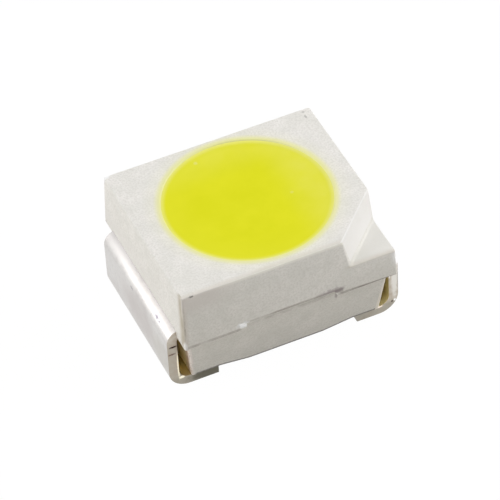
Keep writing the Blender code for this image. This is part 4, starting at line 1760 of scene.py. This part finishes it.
PLATE_ZONES = (
    # Painted shade on the flat strip on top of both leads next to the housing, less on the anode's towards
    # its back.
    Zone("#B0ACA9", (Border(TO_CATHODE, 1.705, 1.640), LEAD_TOP), 0.95, 0.80, 0.12, mirrored=True),
    Zone("#C6C3C1", (Border(TO_ANODE, 1.56, 1.60), LEAD_TOP, Border(TO_BACK, 0.0, 0.7)), 0.95, 0.85, 0.15),
)
PLATE_MARKS = (
    # Broad painted darker reflections on the anode lead's outside, then its small dark spots.
    Mark((-1.75, -0.10, 0.60), (0.20, 0.85, 0.42), "#BEB8B5", 0.70, 0.3),
    Mark((-1.75, -0.90, 0.50), (0.20, 0.45, 0.36), "#C0BDB6", 0.60, 0.3),
    Mark((-1.698, -0.670, 1.015), (0.035, 0.075, 0.025), "#6E6878", 0.80, 0.8, 0.15),
    Mark((-1.705, -0.760, 1.008), (0.025, 0.035, 0.020), "#6E6878", 0.80, 0.6, 0.15),
    Mark((-1.740, 0.110, 0.900), (0.030, 0.060, 0.030), "#857F8C", 0.70, 0.8, 0.15),
    # The cathode lead's front corner: painted shade down its side and a painted highlight over its bend.
    Mark((1.75, -1.10, 0.55), (0.022, 0.030, 0.46), "#6E6C66", 0.90, 0.2, 0.60),
    Mark((1.70, -1.10, 1.02), (0.12, 0.060, 0.14), "#FFFFFF", 1.00, 0.2, 0.60),
)
EDGE_ZONES = (
    # Painted shade on the cut edges of the feet, under the body, most of all towards their ends.
    Zone("#959287", (FOOT_EDGE,), 0.60, 0.50, 0.10, mirrored=True),
    Zone("#837F74", (FOOT_EDGE, Border(TO_ANODE, 1.60, 1.05), Border(TO_ANODE, 0.0, 0.3)), 0.90, 0.80, 0.10),
    Zone("#77736A", (FOOT_EDGE, Border(TO_CATHODE, 0.80, 0.90), Border(TO_ANODE, -1.50, -1.12)),
         0.40, 0.28, 0.10),
    # The anode lead's cut edge is darker down its leg.
    Zone("#9C9587", (Border(TO_ANODE, 1.40, 1.58), Border(UP, 0.95, 0.75)), 0.45, 0.30, 0.09),
)
EDGE_MARKS = (
    # The anode lead's cut edge: painted shade on its foot, two rust-brown scratches, a painted highlight on
    # its inner border and a painted glint at its foot bend.
    Mark((-1.18, -1.1, 0.070), (0.40, 0.05, 0.14), "#5F5C50", 0.90, 0.2),
    Mark((-1.661, -1.1, 0.800), (0.085, 0.05, 0.024), "#2E1510", 1.00, 0.4),
    Mark((-1.686, -1.1, 0.665), (0.075, 0.05, 0.022), "#5E4038", 0.80, 0.5),
    Mark((-1.606, -1.1, 0.42), (0.024, 0.05, 0.34), "#FFF6DC", 1.00, 0.2),
    Mark((-1.565, -1.1, 0.165), (0.055, 0.05, 0.030), "#FFF9E4", 1.00, 0.2, 0.50),
    # The cathode lead's: painted light on its leg, painted highlights on its bend, its inner border and along
    # its foot, then a dark spot and a painted glint at its foot bend, and painted shade down its outer
    # border.
    Mark((1.690, -1.1, 0.593), (0.070, 0.05, 0.50), "#E2E0DA", 0.80, 0.3),
    Mark((1.680, -1.1, 0.980), (0.180, 0.05, 0.16), "#FFFFFF", 1.00, 0.2, 0.60),
    Mark((1.612, -1.1, 0.740), (0.022, 0.05, 0.13), "#FFFFFF", 1.00, 0.3, 0.50),
    Mark((1.425, -1.1, 0.138), (0.110, 0.05, 0.020), "#FFF0E4", 1.00, 0.3),
    Mark((1.648, -1.1, 0.167), (0.022, 0.05, 0.028), "#3B3429", 0.85, 0.3),
    Mark((1.690, -1.1, 0.180), (0.022, 0.05, 0.028), "#FFFFFF", 1.00, 0.3),
    Mark((1.748, -1.1, 0.550), (0.014, 0.05, 0.36), "#77756E", 0.90, 0.2),
)
FILLING_ZONES = (
    # Paler towards the cathode and towards the back, as in the photograph.
    Zone("#EFEC62", (Border(TO_CATHODE, 0.40, 1.10),), 0.60, 0.40, 0.30),
    Zone("#EDEA50", (Border(TO_BACK, 0.50, 1.20),), 0.60, 0.40, 0.30),
)
FILLING_MARKS = (
    # Two small pale blemishes in the skin.
    Mark((-0.315, 1.033, 1.85), (0.045, 0.045, 0.06), "#EDEB90", 0.55, 0.4),
    Mark((0.640, -0.090, 1.85), (0.035, 0.035, 0.06), "#EDEB80", 0.50, 0.4),
)


def dress_nodes(nodes: dict[str, bpy.types.Object], finishes: dict[str, bpy.types.Material]) -> None:
    """Give the CAD nodes that keep their shape their finishes.

    Args:
        nodes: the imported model's nodes by name.
        finishes: a material for each of them.
    """
    for name, material in finishes.items():
        for index in range(len(nodes[name].material_slots)):
            nodes[name].material_slots[index].material = material
        LOG.info("%s keeps its shape, finished as %s", name, material.name)


def place_piece(piece: bpy.types.Object, node: str) -> None:
    """Let a finished piece ride on the part and stand for its CAD node.

    Args:
        piece: the piece, in metres.
        node: the CAD node that it stands for.
    """
    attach(piece, BODY)
    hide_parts(node)
    LOG.info("%s stands for %s, %d faces", piece.name, node, len(piece.data.polygons))


def main() -> None:
    """Load the frame, build every piece in order, and set up the studio."""
    logging.basicConfig(level=logging.INFO, format="%(name)s: %(message)s")
    for obj in list(bpy.data.objects):
        bpy.data.objects.remove(obj, do_unlink=True)
    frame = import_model()

    package = Package()
    plate = SilverPlate("Silver-plated copper strip, rolled", PLATE_ZONES, PLATE_MARKS).build()
    tarnish = TarnishedPlate("Silver plate, tarnished in the bends", TARNISH_SHADE_ZONES).build()
    sheared = ShearedEdge("Copper edge, sheared and smeared with silver", EDGE_ZONES, EDGE_MARKS).build()
    white = MouldedPolyamide("White polyamide, moulded matt", HOUSING_ZONES, HOUSING_MARKS).build()
    yellow = PhosphorSilicone("Phosphor-filled silicone, cast", FILLING_ZONES, FILLING_MARKS).build()

    leads = [Lead(package, Side.ANODE, foot=0.735), Lead(package, Side.CATHODE, foot=0.65)]
    for lead in leads:
        place_piece(lead.build(plate, tarnish, sheared), lead.name)
    place_piece(Housing(package).build(leads, white), "housing")
    place_piece(Filling(package).build(yellow), "encapsulant")
    gold = DrawnGold("Gold wire, drawn").build()
    dress_nodes(frame["nodes"], {
        "led_chip": GrownSapphire("Sapphire with a grown crystal layer").build(),
        "die_attach": SilverPaste("Silver-filled adhesive, cured").build(),
        "anode_wire": gold,
        "cathode_wire": gold,
    })
    Studio().build()
    clear_selection()


if __name__ == "__main__":
    main()
